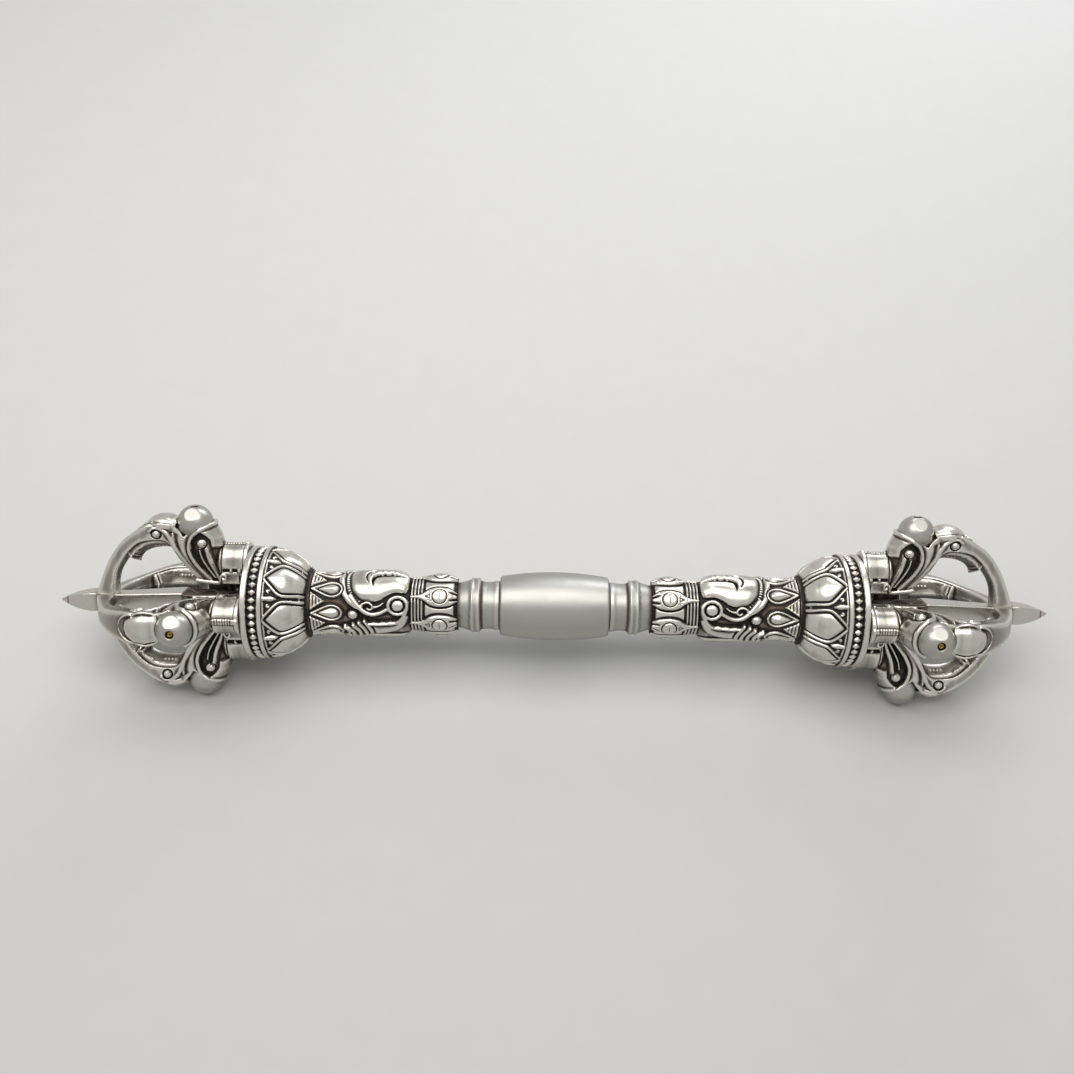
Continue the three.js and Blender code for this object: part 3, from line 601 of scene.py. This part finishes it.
def with_drops(radius, floor, x, turn, length):
    """Adds eight drops, each with a rim, a row of fine dots and a domed middle, and stepped wedges
    on the band between them"""
    t = np.radians(wrapped(turn, 0, DROP_STEP)) * DROP_ROUND
    upper = flow(DROP_LINE, 4)
    gap, share = along(upper, x, np.abs(t))
    inside = np.where(np.abs(t) < np.interp(x, *upper.T, 0, 0), gap, -gap)
    dots = arch((share * 7.2 + 0.2) % 0.4 - 0.2, 0.15) * arch(inside - 0.4, 0.15)
    swell = 5.15 + 0.3 * ease(x, 15.6, 17) + 0.8 * np.sqrt(np.clip((inside - 0.5) / 1.1, 0, 1)) ** 1.1
    drop = np.where(inside > 0.5, swell, 5.15 + 0.25 * ease(x, 15, 17)
                    + 0.42 * arch(inside - 0.14, 0.2) + 0.25 * dots)
    radius = lowered(radius, inside > -0.16, 5.0)
    radius = np.where(inside > -0.02, np.maximum(floor, drop), radius)
    m = np.radians(wrapped(turn, DROP_STEP / 2, DROP_STEP)) * DROP_ROUND
    wedge = 1.75 * np.clip((x - 14.7) / (length - 14.7), 0, 1) - np.abs(m)
    steps = 0.3 * arch((x - length) % 0.55 - 0.27, 0.24) + 0.16 * arch(wedge - 0.12, 0.16)
    return raised(radius, (wedge > 0) & (inside < 0), floor + 0.12 + steps)


def sleeve_radius(x, turn, length):
    """Two masks round the stem, and beyond them the drops that point at the cup"""
    s = np.radians(wrapped(turn, BROW_AT, 180)) * MASK_ROUND
    v = np.radians(wrapped(turn, HOLLOW_AT, 180)) * MASK_ROUND
    floor = np.interp(x, [0, 0.6, 1.6, 11, 12, 15, 16.4, length],
                      [4.6, 4.75, 4.95, 5, 4.95, 5.05, 5.25, 5.5])
    radius = with_brow(floor, floor, x, s)
    radius = with_arm(radius, floor, x, v)
    radius = with_flower(radius, x, v)
    radius = with_vine(radius, floor, x, v)
    radius = with_drops(radius, floor, x, turn, length)
    return radius - soft_ends(x, length, 0.12)


# Lotus cup

# Width of the foot band, number of petals, and radius of the cup half-way up
BAND, PETALS, CUP_ROUND = 0.7, 8, 8.9
# Radius of the bell beyond its foot band
BELL = [(0.7, 6.1), (1.3, 7.0), (2.0, 7.7), (2.7, 8.2), (3.4, 8.65), (4.1, 9.0), (5.0, 9.32), (6.0, 9.55),
        (7.3, 9.7)]
# Half outline of a petal: place along the cup, and distance from its middle round the cup
PETAL = flow([(0.6, 1.3), (1.5, 1.72), (2.5, 2.12), (3.5, 2.42), (4.25, 2.48), (4.8, 2.16), (5.6, 1.36),
              (6.4, 0.5), (6.85, 0.0)])


def cup_radius(x, turn, length):
    """Eight domed petals over a bell, each with a raised rim beyond a groove. Two rims run side by
    side up the channel and then part round a dark corner with a dart and two small hooks."""
    bell = np.interp(x, *flow(BELL).T)
    s = np.abs(np.radians(wrapped(turn, 0, 360 / PETALS))) * bell
    gap = along(PETAL, x, s)[0]
    edge = gap * np.where(s < np.interp(x, *PETAL.T, right=0), 1, -1)
    floor = bell - 0.62
    petal = bell - 0.42 + 0.56 * dome(edge / 2.0)
    rim = np.maximum(bell - 0.55 + 0.5 * arch(-edge - 0.5, 0.3), floor)
    radius = np.where(edge > 0, petal, np.where((edge < -0.2) & (edge > -0.8), rim, floor))
    # From the middle of the gap between two petals
    d = bell * math.pi / PETALS - s
    block = (x < BAND + 0.95) & (d < 0.48)
    radius = raised(radius, block, bell - 0.4 - 0.2 * arch(x - BAND - 0.5, 0.12))
    wide = np.interp(x, [4.9, 5.4, 5.9, 6.5, 7.0, 7.3], [0.02, 0.36, 0.58, 0.5, 0.42, 0.6])
    radius = raised(radius, (edge < -0.8) & (x > 4.9), bell - 0.55 + 0.62 * arch(d, wide))
    away = np.hypot(x - 6.3, d - 1.3)
    hook = (edge < -0.82) & (away < 0.4) & ((x > 6.2) | (d > 1.3))
    radius = raised(radius, hook, bell - 0.55 + 0.36 * arch(away - 0.24, 0.16))
    # Plain lip under the ring, and the foot band
    radius = raised(radius, x > length - 0.28, bell - 0.2)
    return np.where(x < BAND, 5.75 - soft_ends(x, BAND + 0.02, 0.2), radius)


# Beaded ring

RING_RADIUS, BED_DEPTH, INNER_RIM, OUTER_RIM, BEADS = 10.0, 0.78, 0.85, 1.05, 44


def ring_radius(x, turn, length):
    """Two plain rims and a bed of beads rubbed to low diamonds"""
    bed_end = length - OUTER_RIM
    middle = (INNER_RIM + bed_end) / 2
    a = (x - middle) / ((bed_end - INNER_RIM) / 2)
    b = wrapped(turn, 0, 360 / BEADS) / (180 / BEADS)
    bead = np.clip(1.04 - (np.abs(a) ** 1.25 + np.abs(b) ** 1.25), 0, 1) ** 0.6
    bed = RING_RADIUS - BED_DEPTH + (BED_DEPTH - 0.02) * bead
    inner = np.clip(np.minimum(np.abs(x - INNER_RIM), np.abs(x - bed_end)) / 0.12, 0, 1)
    rim = RING_RADIUS - 0.18 * (1 - dome(np.minimum(x, length - x) / 0.2)) - 0.1 * (1 - inner)
    return np.where((x > INNER_RIM) & (x < bed_end), bed, rim)


for name, girth, radius_at, bore in (
        ("jewel_collar", COLLAR_ROUND, collar_radius, BORE),
        ("mask_sleeve", DROP_ROUND, sleeve_radius, BORE),
        ("lotus_cup", CUP_ROUND, cup_radius, BORE),
        ("beaded_ring", RING_RADIUS, ring_radius, RING_BORE)):
    both_heads(name, "cast_silver", *carved_sleeve(*reach(name), girth, radius_at, bore))
barrel()
neck()

# Outer prongs
# A prong is drawn standing up: u runs outward from the ring's face, r away from the long axis, and
# w sideways.

# Middle of the crest ball, its radius, and the depth of its wear flats
BALL_U, BALL_R, BALL, WEAR = 9.35, 14.5, 3.05, 0.25
OUTER_EDGE = flow([(11.4, 13.2), (12.4, 14.25), (13.5, 14.6), (14.7, 14.72), (16.6, 14.45),
                   (18.0, 13.95), (19.3, 13.2), (21.2, 11.9), (22.8, 10.25), (24.4, 7.95), (25.9, 4.9),
                   (27.3, 1.35)])
INNER_EDGE = flow([(23.65, 1.35), (23.4, 3.7), (22.7, 5.9), (21.2, 8.1), (19.8, 9.5), (18.1, 10.6),
                   (15.3, 11.0), (13.9, 10.6), (12.6, 9.4), (11.3, 7.6), (9.9, 5.9), (8.6, 4.5)])
CREST_BACK = flow([(5.0, 4.2), (4.5, 6.0), (4.3, 8.6), (4.4, 10.6), (4.75, 12.2), (5.3, 13.5),
                   (6.0, 14.6)])
CREST_LIP = flow([(6.0, 14.6), (7.6, 14.3), (9.0, 13.6), (10.1, 13.0), (10.9, 12.4)])
HOOD = [(4.0, 10.1), (4.0, 15.2), (8.6, 14.2), (7.9, 13.2), (7.0, 12.6), (6.4, 11.8), (6.2, 10.4)]
# The ribs of the crest, each from its upper end down to the foot
TAIL = flow([(10.5, 14.2), (11.1, 12.8), (11.3, 11.3), (10.85, 9.4), (9.75, 7.5), (8.45, 6.0),
             (7.2, 4.7)])
FRONT_RIB = flow([(16.5, 13.45), (15.8, 13.95), (14.6, 13.8), (13.6, 13.0), (12.95, 11.8),
                  (12.25, 10.2), (10.95, 8.2), (9.5, 6.4), (8.1, 4.8)])
FRONT_LINE = flow([(12.7, 13.0), (12.4, 11.4), (11.75, 9.7), (10.4, 7.7), (8.95, 6.05), (7.65, 4.7)])
CURL_RIB = flow([(8.0, 13.7), (9.15, 12.75), (9.75, 11.4), (9.8, 9.7), (8.95, 7.7), (7.7, 6.0),
                 (6.6, 4.7)])
INNER_RIB = flow([(8.2, 10.1), (7.85, 8.6), (7.0, 6.9), (5.95, 5.1)])
BACK_RIB = flow([(7.1, 11.0), (6.8, 10.0), (6.55, 8.7), (6.0, 7.2), (5.5, 5.9), (5.2, 4.7)])
FOOT_BAR = flow([(9.1, 4.55), (7.2, 4.3), (5.4, 4.15), (4.95, 4.5)])
SCROLL = flow([(4.95, 4.5), (4.75, 5.5), (4.25, 5.75), (3.85, 5.35), (4.0, 4.85), (4.4, 4.95)])
# Leaf under the shoulder: its rounded end down to the point, and its keel back to the root
LEAF_END = flow([(19.0, 11.2), (20.4, 10.6), (21.0, 9.8), (21.0, 9.0), (20.4, 8.1), (19.4, 7.3)])
LEAF_KEEL = flow([(19.4, 7.3), (19.1, 8.2), (18.3, 9.1), (16.9, 9.75), (15.2, 10.0), (13.4, 9.9),
                  (12.6, 9.6)])
# Half-width of the shield over the shoulder, along the blade's outer edge
SHIELD = [(0.0, 2.35), (0.8, 2.85), (1.9, 3.08), (3.0, 2.98), (3.7, 2.62), (3.95, 2.45), (4.3, 2.62),
          (5.1, 2.5), (6.0, 2.0), (6.6, 1.35), (7.1, 0.55), (7.35, 0.0)]


def sphere(place, middle, size):
    """Distance to a round ball, negative inside it"""
    return np.sqrt(sum((p - m) ** 2 for p, m in zip(place, middle))) - size


def prong_side(u, r):
    """Distance to the outline seen from the side, and half the thickness of blade and of prong"""
    side = outline(np.vstack([OUTER_EDGE, INNER_EDGE, CREST_BACK, CREST_LIP[1:]]), u, r)
    blade = np.interp(u, [9, 12, 13.5, 17, 18.5, 20.6, 22.6, 25.6, 27.3],
                      [2.2, 2.45, 2.7, 2.75, 2.6, 2.2, 1.75, 1.5, 1.4])
    # The crest's grooved fan and smooth hood
    top = np.interp(r, [4.3, 6, 9, 11.5, 13.5, 14.8], [2.25, 2.55, 3.05, 3.35, 3.35, 3.1])
    deep = np.interp(r, [8, 10.6, 12.2, 13.2, 14.0, 14.6, 15], [5.0, 4.95, 4.6, 4.15, 3.75, 3.4, 3.0])
    broad = np.interp(r, [8, 10.6, 12.5, 13.6, 14.6], [3.2, 3.5, 3.5, 3.4, 3.1])
    egg = broad * np.sqrt(np.clip(1 - (np.clip(BALL_U - u, 0, None) / deep) ** 2, 0, 1))
    lower_rib = FRONT_RIB[21:]
    fan = outline(np.vstack([CREST_BACK, CREST_LIP, [(12.9, 13.4)], lower_rib]), u, r)
    hood = outline(np.array(HOOD), u, r)
    height = np.where(fan < 0, np.minimum(top - 1.0, egg - 0.55), blade)
    height = height + (egg - height) * (1 - ease(hood, -0.35, 0.05))
    # Round ribs laid on the side, each with its half-width and its top read along its length
    for line, halves, tops, drop in (
            (TAIL, (1.95, 1.35, 1.0, 0.72, 0.5, 0.4, 0.32), (2.3, 2.6, 2.7, 2.65, 2.45, 2.25), 1.0),
            (FRONT_LINE, (0.2, 0.18), (2.75, 2.7, 2.4, 2.1), 0.3),
            (FRONT_RIB, (0.34, 0.42, 0.42, 0.4, 0.34), (3.15, 3.05, 2.95, 2.6, 2.3), 0.5),
            (CURL_RIB, (0.42, 0.44, 0.42, 0.34), (3.5, 3.42, 3.3, 2.85, 2.3), 0.55),
            (INNER_RIB, (0.22, 0.26, 0.24), (2.75, 2.6, 2.2), 0.35),
            (BACK_RIB, (0.4, 0.44, 0.34), (3.35, 3.1, 2.3), 0.55)):
        gap, share = along(line, u, r)
        wide, crown = (np.interp(share, np.linspace(0, 1, len(row)), row) for row in (halves, tops))
        height = np.maximum(height, np.where(gap < wide, crown - drop * (1 - arch(gap, wide)), 0))
    return side, blade, blurred(height, 1)


def with_leaf(field, u, r, w, side, blade):
    """Adds the leaf under the shoulder, keeled and pointed, with two rims that follow its rounded end"""
    leaf = outline(np.vstack([[(12.6, 12.6), (18.4, 12.2)], LEAF_END, LEAF_KEEL]), u, r)
    end = along(LEAF_END, u, r)[0]
    keel = along(LEAF_KEEL, u, r)[0]
    thick = 2.6 * np.clip(keel / 1.5, 0, 1) ** 0.8 * (0.35 + 0.65 * dome(end))
    thick = thick + 0.3 * arch(end - 0.3, 0.24) + 0.26 * arch(end - 1.05, 0.2)
    thick -= 0.18 * arch(end - 0.7, 0.16)
    # It stays within the blade's sides where it grows out of the blade
    thick -= np.clip(thick - blade + 0.3, 0, None) * ease(-side, -0.4, 0.0)
    field = merge(field, np.maximum(w - np.clip(thick, 0.12, 2.7), leaf), 0.1)
    # Row of fine dots on its flank, beside the keel
    for k in range(4):
        field = merge(field, sphere((u, r, w), (14.2 + 0.62 * k, 10.6, 1.3), 0.24), 0.05)
    return field


def with_shield(field, u, r, w, side):
    """Adds the rimmed shield on the outside of the shoulder, with its oval boss"""
    gap, share = along(OUTER_EDGE, u, r)
    whole = np.linalg.norm(np.diff(OUTER_EDGE, axis=0), axis=1).sum()
    run = blurred(share, 3) * whole - 1.4
    above = np.where(side < 0, -1, 1) * gap
    half = np.interp(run, *np.array(SHIELD).T, left=-1, right=-1)
    inset = half - w
    boss_half = np.interp(run, [-0.1, 0.5, 2.2, 4.0, 5.2, 5.9], [1.95, 2.3, 2.55, 2.2, 1.5, 0],
                          left=1.95, right=-1)
    boss = np.clip(1 - (w / np.maximum(boss_half, 0.05)) ** 2, 0, 1) * (boss_half > 0)
    boss = boss * (0.55 + 0.45 * ease(run, -0.2, 2.2)) * (1 - ease(run, 2.6, 6.0) ** 1.3)
    lift = 0.3 * arch(inset - 0.2, 0.24) * ease(half, 0.1, 0.9) + 1.35 * np.sqrt(boss) - 0.08
    plate = np.maximum(np.maximum(above - lift, -inset * 0.8), -above - 0.75)
    return merge(field, np.maximum(plate, -0.15 - run), 0.05)


def with_seat(field, u, r, w):
    """Adds the rim of the ball's seat, which is the curl rib carried round behind the ball, and cuts
    a narrow groove under it and the seat inside it"""
    rise = np.interp(u, [5.4, 6.4, 8.0, 9.2], [14.55, 14.3, 13.7, 12.75])
    away = np.hypot(u - BALL_U, w) - np.interp(u, [5.5, 8.6], [3.4, 3.06])
    rim = np.maximum(np.hypot(away, (r - rise) * 0.85) - 0.42, u - 8.6)
    under = np.hypot(away - 0.5, r - rise + 0.5) - 0.2
    field = np.maximum(field, -np.maximum(under, u - 8.0))
    field = merge(field, rim, 0.08)
    seat = -sphere((u, r, w), (BALL_U, BALL_R, 0), BALL + 0.05)
    return np.maximum(field, np.where(r > 13.6, seat, -9))


def with_neck(field, u, r, w):
    """Adds the neck: a barrel with a notched spine over a flat block, and two knobs, a foot bar and
    its scroll on each side"""
    waist = np.interp(u, [0, 0.62, 0.72, 0.82, 2.4, 4.2, 4.6, 5.6],
                      [3.62, 3.62, 3.35, 3.5, 3.42, 3.5, 3.3, 2.3])
    across = waist - 0.42
    drum = (np.sqrt(((r - 7.35) / waist) ** 2 + (w / across) ** 2) - 1) * across
    drum -= 0.22 * arch(w, 0.5) * (r > 8)
    tooth = np.abs((u - 0.2) % 0.44 - 0.22) / 0.22
    spine = np.clip(1 - w / 0.85, 0, 1) * ((r > 8) & (u > 0.9) & (u < 4.3))
    drum += 0.34 * (1 - tooth) * spine
    drum += 0.55 * arch(r - 6.5, 0.42) * ((u > 0.75) & (u < 4.3))
    drum = np.maximum(np.maximum(drum, u - 5.4), 0.02 - u)
    drum += 0.35 * arch(u - 4.62, 0.22)
    field = merge(field, drum, 0.06)
    line = arch(u - 0.95, 0.12) + arch(u - 1.4, 0.12)
    block = np.maximum(np.maximum(w - 2.75 + 0.2 * line, np.abs(u - 2.3) - 2.3), np.abs(r - 5.2) - 1.1)
    field = merge(field, np.maximum(block, 0.02 - u), 0.1)
    for place, size in ((1.35, 0.5), (2.9, 0.34)):
        field = merge(field, sphere((u, r, w), (place, 6.62, 2.7), size), 0.06)
    for line, size, out in ((FOOT_BAR, 0.36, 2.5), (SCROLL, 0.2, 2.98)):
        gap = along(line, u, r)[0]
        field = merge(field, np.hypot(gap, np.maximum(w - out + size, 0)) - size, 0.06)
    return field


def outer_prong():
    """Neck, ribbed crest, shield with its boss, blade and inner leaf, fused as one casting"""
    u1 = np.arange(-0.25, 28.0, PRONG_PITCH)
    r1 = np.arange(0.9, 17.0, PRONG_PITCH)
    w1 = np.arange(0, 4.5, PRONG_PITCH)
    u, r = (grid[:, :, None] for grid in np.meshgrid(u1, r1, indexing="ij"))
    w = w1[None, None, :]
    side, blade, height = prong_side(u, r)
    field = -merge(-(w - height), -side, 0.12)
    # The inside of the blade is keeled: it falls back on both sides of its middle line
    inner = along(INNER_EDGE, u, r)[0]
    field = np.maximum(field, np.where(side < 0, 0.34 * ease(u, 11.5, 14) * w - inner, -9))
    field = with_leaf(field, u, r, w, side, blade)
    field = with_shield(field, u, r, w, side)
    # Beads that end the curl and the front rib, each in a narrow moat
    for middle, size in (((7.65, 11.45, 2.75), 0.84), ((15.45, 12.95, 2.5), 0.74)):
        moat = np.abs(np.hypot(u - middle[0], r - middle[1]) - size)
        field = np.maximum(field, np.minimum(0.2 - moat, w - middle[2] + 0.26))
        field = merge(field, sphere((u, r, w), middle, size), 0.05)
    field = with_seat(field, u, r, w)
    field = with_neck(field, u, r, w)
    # The blade's tip meets the centre prong's flat face
    field = np.maximum(field, 1.33 - r)
    # Both sides of the prong are alike
    field = np.concatenate([field[:, :, :0:-1], field], 2)
    points, faces = skin(field, np.array([u1[0], r1[0], -w1[-1]]), PRONG_PITCH)
    points = relaxed(points, faces, 1) * 0.5 + points * 0.5
    return points, faces, hollows(points, faces)


def crest_ball():
    """Ball turned about its pin: a drilled eye with a rubbed rim, and two wear flats"""
    hole, eye, columns = 0.62, 1.05, 72
    angle = np.linspace(math.asin(eye / BALL), math.pi - 0.2, 44)
    r = np.concatenate([[-0.6, 1.9, 2.62, 2.8], BALL * np.cos(angle)])
    out = np.concatenate([[hole, hole, hole, hole + 0.1], BALL * np.sin(angle)])
    points = revolved(np.stack([r, out], 1), columns)
    faces = strip(len(r), columns, True)
    recess = np.repeat(np.where(np.arange(len(r)) < 3, 0.25, -0.05), columns)
    for lean in (-1, 1):
        across = np.array([0, 1, lean]) / math.sqrt(2)
        over = points @ across - (BALL - WEAR)
        points = points - np.outer(np.clip(over, 0, None), across)
    return points + [BALL_U, BALL_R, 0], faces, recess


def crest_pin():
    """Brass core with a worn, slightly domed end"""
    top = BALL_R + BALL - 0.42
    rings = [(top - 4.2, 0.5), (top - 0.12, 0.5), (top - 0.03, 0.4), (top, 0.15)]
    columns = 28
    points = revolved(rings, columns) + [BALL_U, 0, 0]
    return points, strip(len(rings), columns, True), np.zeros(len(points))


def stand_up(name, shape, finish):
    """Four copies of a prong's piece at their elevations on each head"""
    points, faces, recess = shape
    for place, elevation in (
            ("upper_front", 45), ("upper_back", 135), ("lower_back", 225), ("lower_front", 315)):
        a = math.radians(elevation)
        out = np.array([0, -math.cos(a), math.sin(a)])
        across = np.array([0, math.sin(a), math.cos(a)])
        placed = np.outer(points[:, 0] + RING_FACE, [1, 0, 0]) + np.outer(points[:, 1], out) \
            + np.outer(points[:, 2], across)
        both_heads(f"{name}_{place}", finish, placed, faces, recess)


stand_up("prong", outer_prong(), "cast_silver")
stand_up("ball", crest_ball(), "ball_silver")
stand_up("pin", crest_pin(), "brass_pin")

# Centre prong

CARVED_TO = 12.2
# Half-width of the bar and its spike along their length
BAR_LINE = [(0.0, 1.45), (1.2, 1.5), (4, 1.6), (8, 1.78), (11.6, 1.92), (12.3, 1.97), (13.2, 1.93),
            (16, 1.8), (20, 1.55), (23, 1.4), (26.6, 1.36), (27.1, 1.45), (27.4, 1.62), (28.4, 1.65),
            (29.8, 1.5), (31.2, 1.2), (32.4, 0.82), (33.4, 0.42), (33.9, 0.2), (34.1, 0.08)]


def centre_prong():
    """Square bar with crisp arrises, carved with scrolls near its foot, and a four-sided spike"""
    length = reach("centre_prong")[1] - RING_FACE
    x = np.concatenate([
        np.linspace(0, 12.6, 100), np.linspace(12.8, 26.4, 60), np.linspace(26.6, length, 60)])
    half = np.interp(x, *np.array(BAR_LINE).T)
    sides = 64
    t = (np.arange(sides) + 0.5) / sides * 4
    face = np.floor(t)
    across = (t - face) * 2 - 1
    angle = (face + 0.5) * math.pi / 2
    normal = np.stack([np.cos(angle), np.sin(angle)])
    tangent = np.stack([-np.sin(angle), np.cos(angle)])
    bevel = 0.93
    flat = np.clip(across, -bevel, bevel)
    rise = 1 - 0.6 * (np.abs(across) - bevel).clip(0)
    points, recess = [], []
    for place, h in zip(x, half):
        carve = np.zeros(sides)
        if place < CARVED_TO:
            fade = ease(place, 0.3, 0.8) * (1 - ease(place, CARVED_TO - 0.8, CARVED_TO))
            wave = 0.5 * h * np.sin(place * 2 * math.pi / 4.2)
            carve = 0.2 * arch(across * h - wave, 0.22) + 0.16 * arch(np.abs(across * h) - 0.84 * h, 0.16)
            carve = (carve - 0.16) * fade
        crease = 0.06 * math.exp(-((place - (length - 1.3)) / 0.09) ** 2)
        yz = normal * (h * rise + carve - crease) + tangent * flat * h
        points.append(np.stack([np.full(sides, RING_FACE + place), yz[0], yz[1]], 1))
        # Brown in the carving, and where the blades' tips meet the bar
        stain = 0.13 * math.exp(-((place - 26.3) / 0.9) ** 2)
        recess.append(0.03 - carve * 0.45 if place < CARVED_TO
                      else np.full(sides, 2 * crease + stain - 0.04))
    last = (len(x) - 1) * sides
    ends = list(range(sides))[::-1], list(range(last, last + sides))
    for made in both_heads("centre_prong", "cast_silver", np.vstack(points),
                           strip(len(x), sides, False), np.concatenate(recess), ends):
        made.data.set_sharp_from_angle(angle=math.radians(35))


centre_prong()

# Carried-over CAD nodes

for name, finish in (
        ("left_seat_plate", "dark_seat"), ("right_seat_plate", "dark_seat"), ("core_rod", "inner_rod")):
    kept = frame["nodes"][name]
    kept.data.materials.clear()
    kept.data.materials.append(FINISHES[finish])

# Floor, light and camera

SURROUND, SURROUND_STRENGTH = "#ecebe9", 0.85


def seen_directly(finish):
    """1 for what the camera sees, straight or by way of metal or glass, and 0 for light itself"""
    path = node(finish, "ShaderNodeLightPath").outputs
    seen = path["Is Camera Ray"]
    for way in ("Is Glossy Ray", "Is Transmission Ray"):
        seen = node(finish, "ShaderNodeMath", {0: seen, 1: path[way]}, operation="MAXIMUM").outputs[0]
    return seen


def pale_floor():
    """Matt card, pale grey, one wide sheet under the object that fades into the surround"""
    finish = blank_finish("pale_matt_card")
    place = node(finish, "ShaderNodeTexCoord").outputs["Object"]
    cloud = node(finish, "ShaderNodeTexNoise", {
        "Vector": place, "Scale": 1 / (6 * MM), "Detail": 4.0}).outputs["Fac"]
    tone = node(finish, "ShaderNodeMix", {
        0: cloud, 6: linear("#d3d3d2"), 7: linear("#d7d7d6")}, data_type="RGBA").outputs[2]
    shader = node(finish, "ShaderNodeBsdfPrincipled", {"Base Color": tone, "Roughness": 0.9})
    far = node(finish, "ShaderNodeVectorMath", {0: place}, operation="LENGTH").outputs["Value"]
    far = node(finish, "ShaderNodeMapRange", {
        "Value": far, "From Min": 0.14, "From Max": 0.5}, interpolation_type="SMOOTHSTEP").outputs[0]
    far = node(finish, "ShaderNodeMath", {
        0: far, 1: seen_directly(finish)}, operation="MULTIPLY").outputs[0]
    haze = node(finish, "ShaderNodeEmission", {"Color": linear(SURROUND), "Strength": SURROUND_STRENGTH})
    shader = node(finish, "ShaderNodeMixShader", {0: far, 1: shader.outputs[0], 2: haze.outputs[0]})
    node(finish, "ShaderNodeOutputMaterial", {"Surface": shader.outputs[0]})
    steps, rings = 48, [(0, 0.15), (0, 0.5), (0, 1.5), (0, 4.0)]
    points = np.vstack([revolved(rings, steps)[:, [0, 2, 1]], [[0, 0, 0]]])
    faces = strip(len(rings), steps, False).tolist() \
        + [[len(points) - 1, j, (j + 1) % steps] for j in range(steps)]
    mesh = bpy.data.meshes.new("floor")
    mesh.from_pydata(points.tolist(), [], faces)
    mesh.materials.append(finish)
    add("floor", mesh)


def soft_lamp(name, place, size, power, tint):
    """Flat soft box turned to the object. Its size is in metres, its power in watts."""
    lamp = bpy.data.lights.new(name, "AREA")
    lamp.shape = "RECTANGLE"
    lamp.size, lamp.size_y = size
    lamp.energy = power
    lamp.color = linear(tint)[:3]
    made = add(name, lamp)
    made.location = [c * MM for c in place]
    z = np.array(place) - [0, 0, 10.0]
    z /= np.linalg.norm(z)
    side = np.cross([0, 1, 0], z)
    side /= np.linalg.norm(side)
    made.rotation_euler = Matrix(np.stack([side, np.cross(z, side), z], 1).tolist()).to_euler()


def world():
    """Even pale surround: dim as light, pale to the camera and in reflections"""
    sky = bpy.data.worlds.new("studio_surround")
    bpy.context.scene.world = sky
    sky.use_nodes = True
    sky.node_tree.nodes.clear()
    strength = node(sky, "ShaderNodeMapRange", {
        "Value": seen_directly(sky), "To Min": 0.3, "To Max": SURROUND_STRENGTH}).outputs[0]
    glow = node(sky, "ShaderNodeBackground", {"Color": linear(SURROUND), "Strength": strength})
    node(sky, "ShaderNodeOutputWorld", {"Surface": glow.outputs[0]})


def camera():
    """Phone held close above the front edge, looking down at the middle of the grip"""
    tilt, roll = math.radians(60.5), math.radians(0.86)
    away, to_right, up_by = 191, -3.06, 12.3
    ahead = np.array([0, math.cos(tilt), -math.sin(tilt)])
    up = np.array([0, math.sin(tilt), math.cos(tilt)])
    right = np.array([1.0, 0, 0])
    side = math.cos(roll) * right + math.sin(roll) * up
    top = -math.sin(roll) * right + math.cos(roll) * up
    place = np.array([0, 0, AXIS_HEIGHT]) - away * ahead + to_right * side + up_by * top
    view = bpy.data.cameras.new("phone")
    view.lens, view.sensor_width, view.sensor_fit = 36, 36, "HORIZONTAL"
    view.clip_start, view.clip_end = 0.01, 20
    made = add("phone", view)
    grid = np.eye(4)
    grid[:3] = np.stack([side, top, -ahead, place * MM], 1)
    made.matrix_world = Matrix(grid.tolist())
    bpy.context.scene.camera = made


pale_floor()
soft_lamp("key_overhead", (-40, 70, 380), (0.56, 0.30), 1.5, "#fffdf9")
soft_lamp("rim_from_back", (120, 330, 150), (0.3, 0.12), 0.45, "#f4f8ff")
world()
camera()
bpy.context.scene.view_settings.view_transform = "Standard"
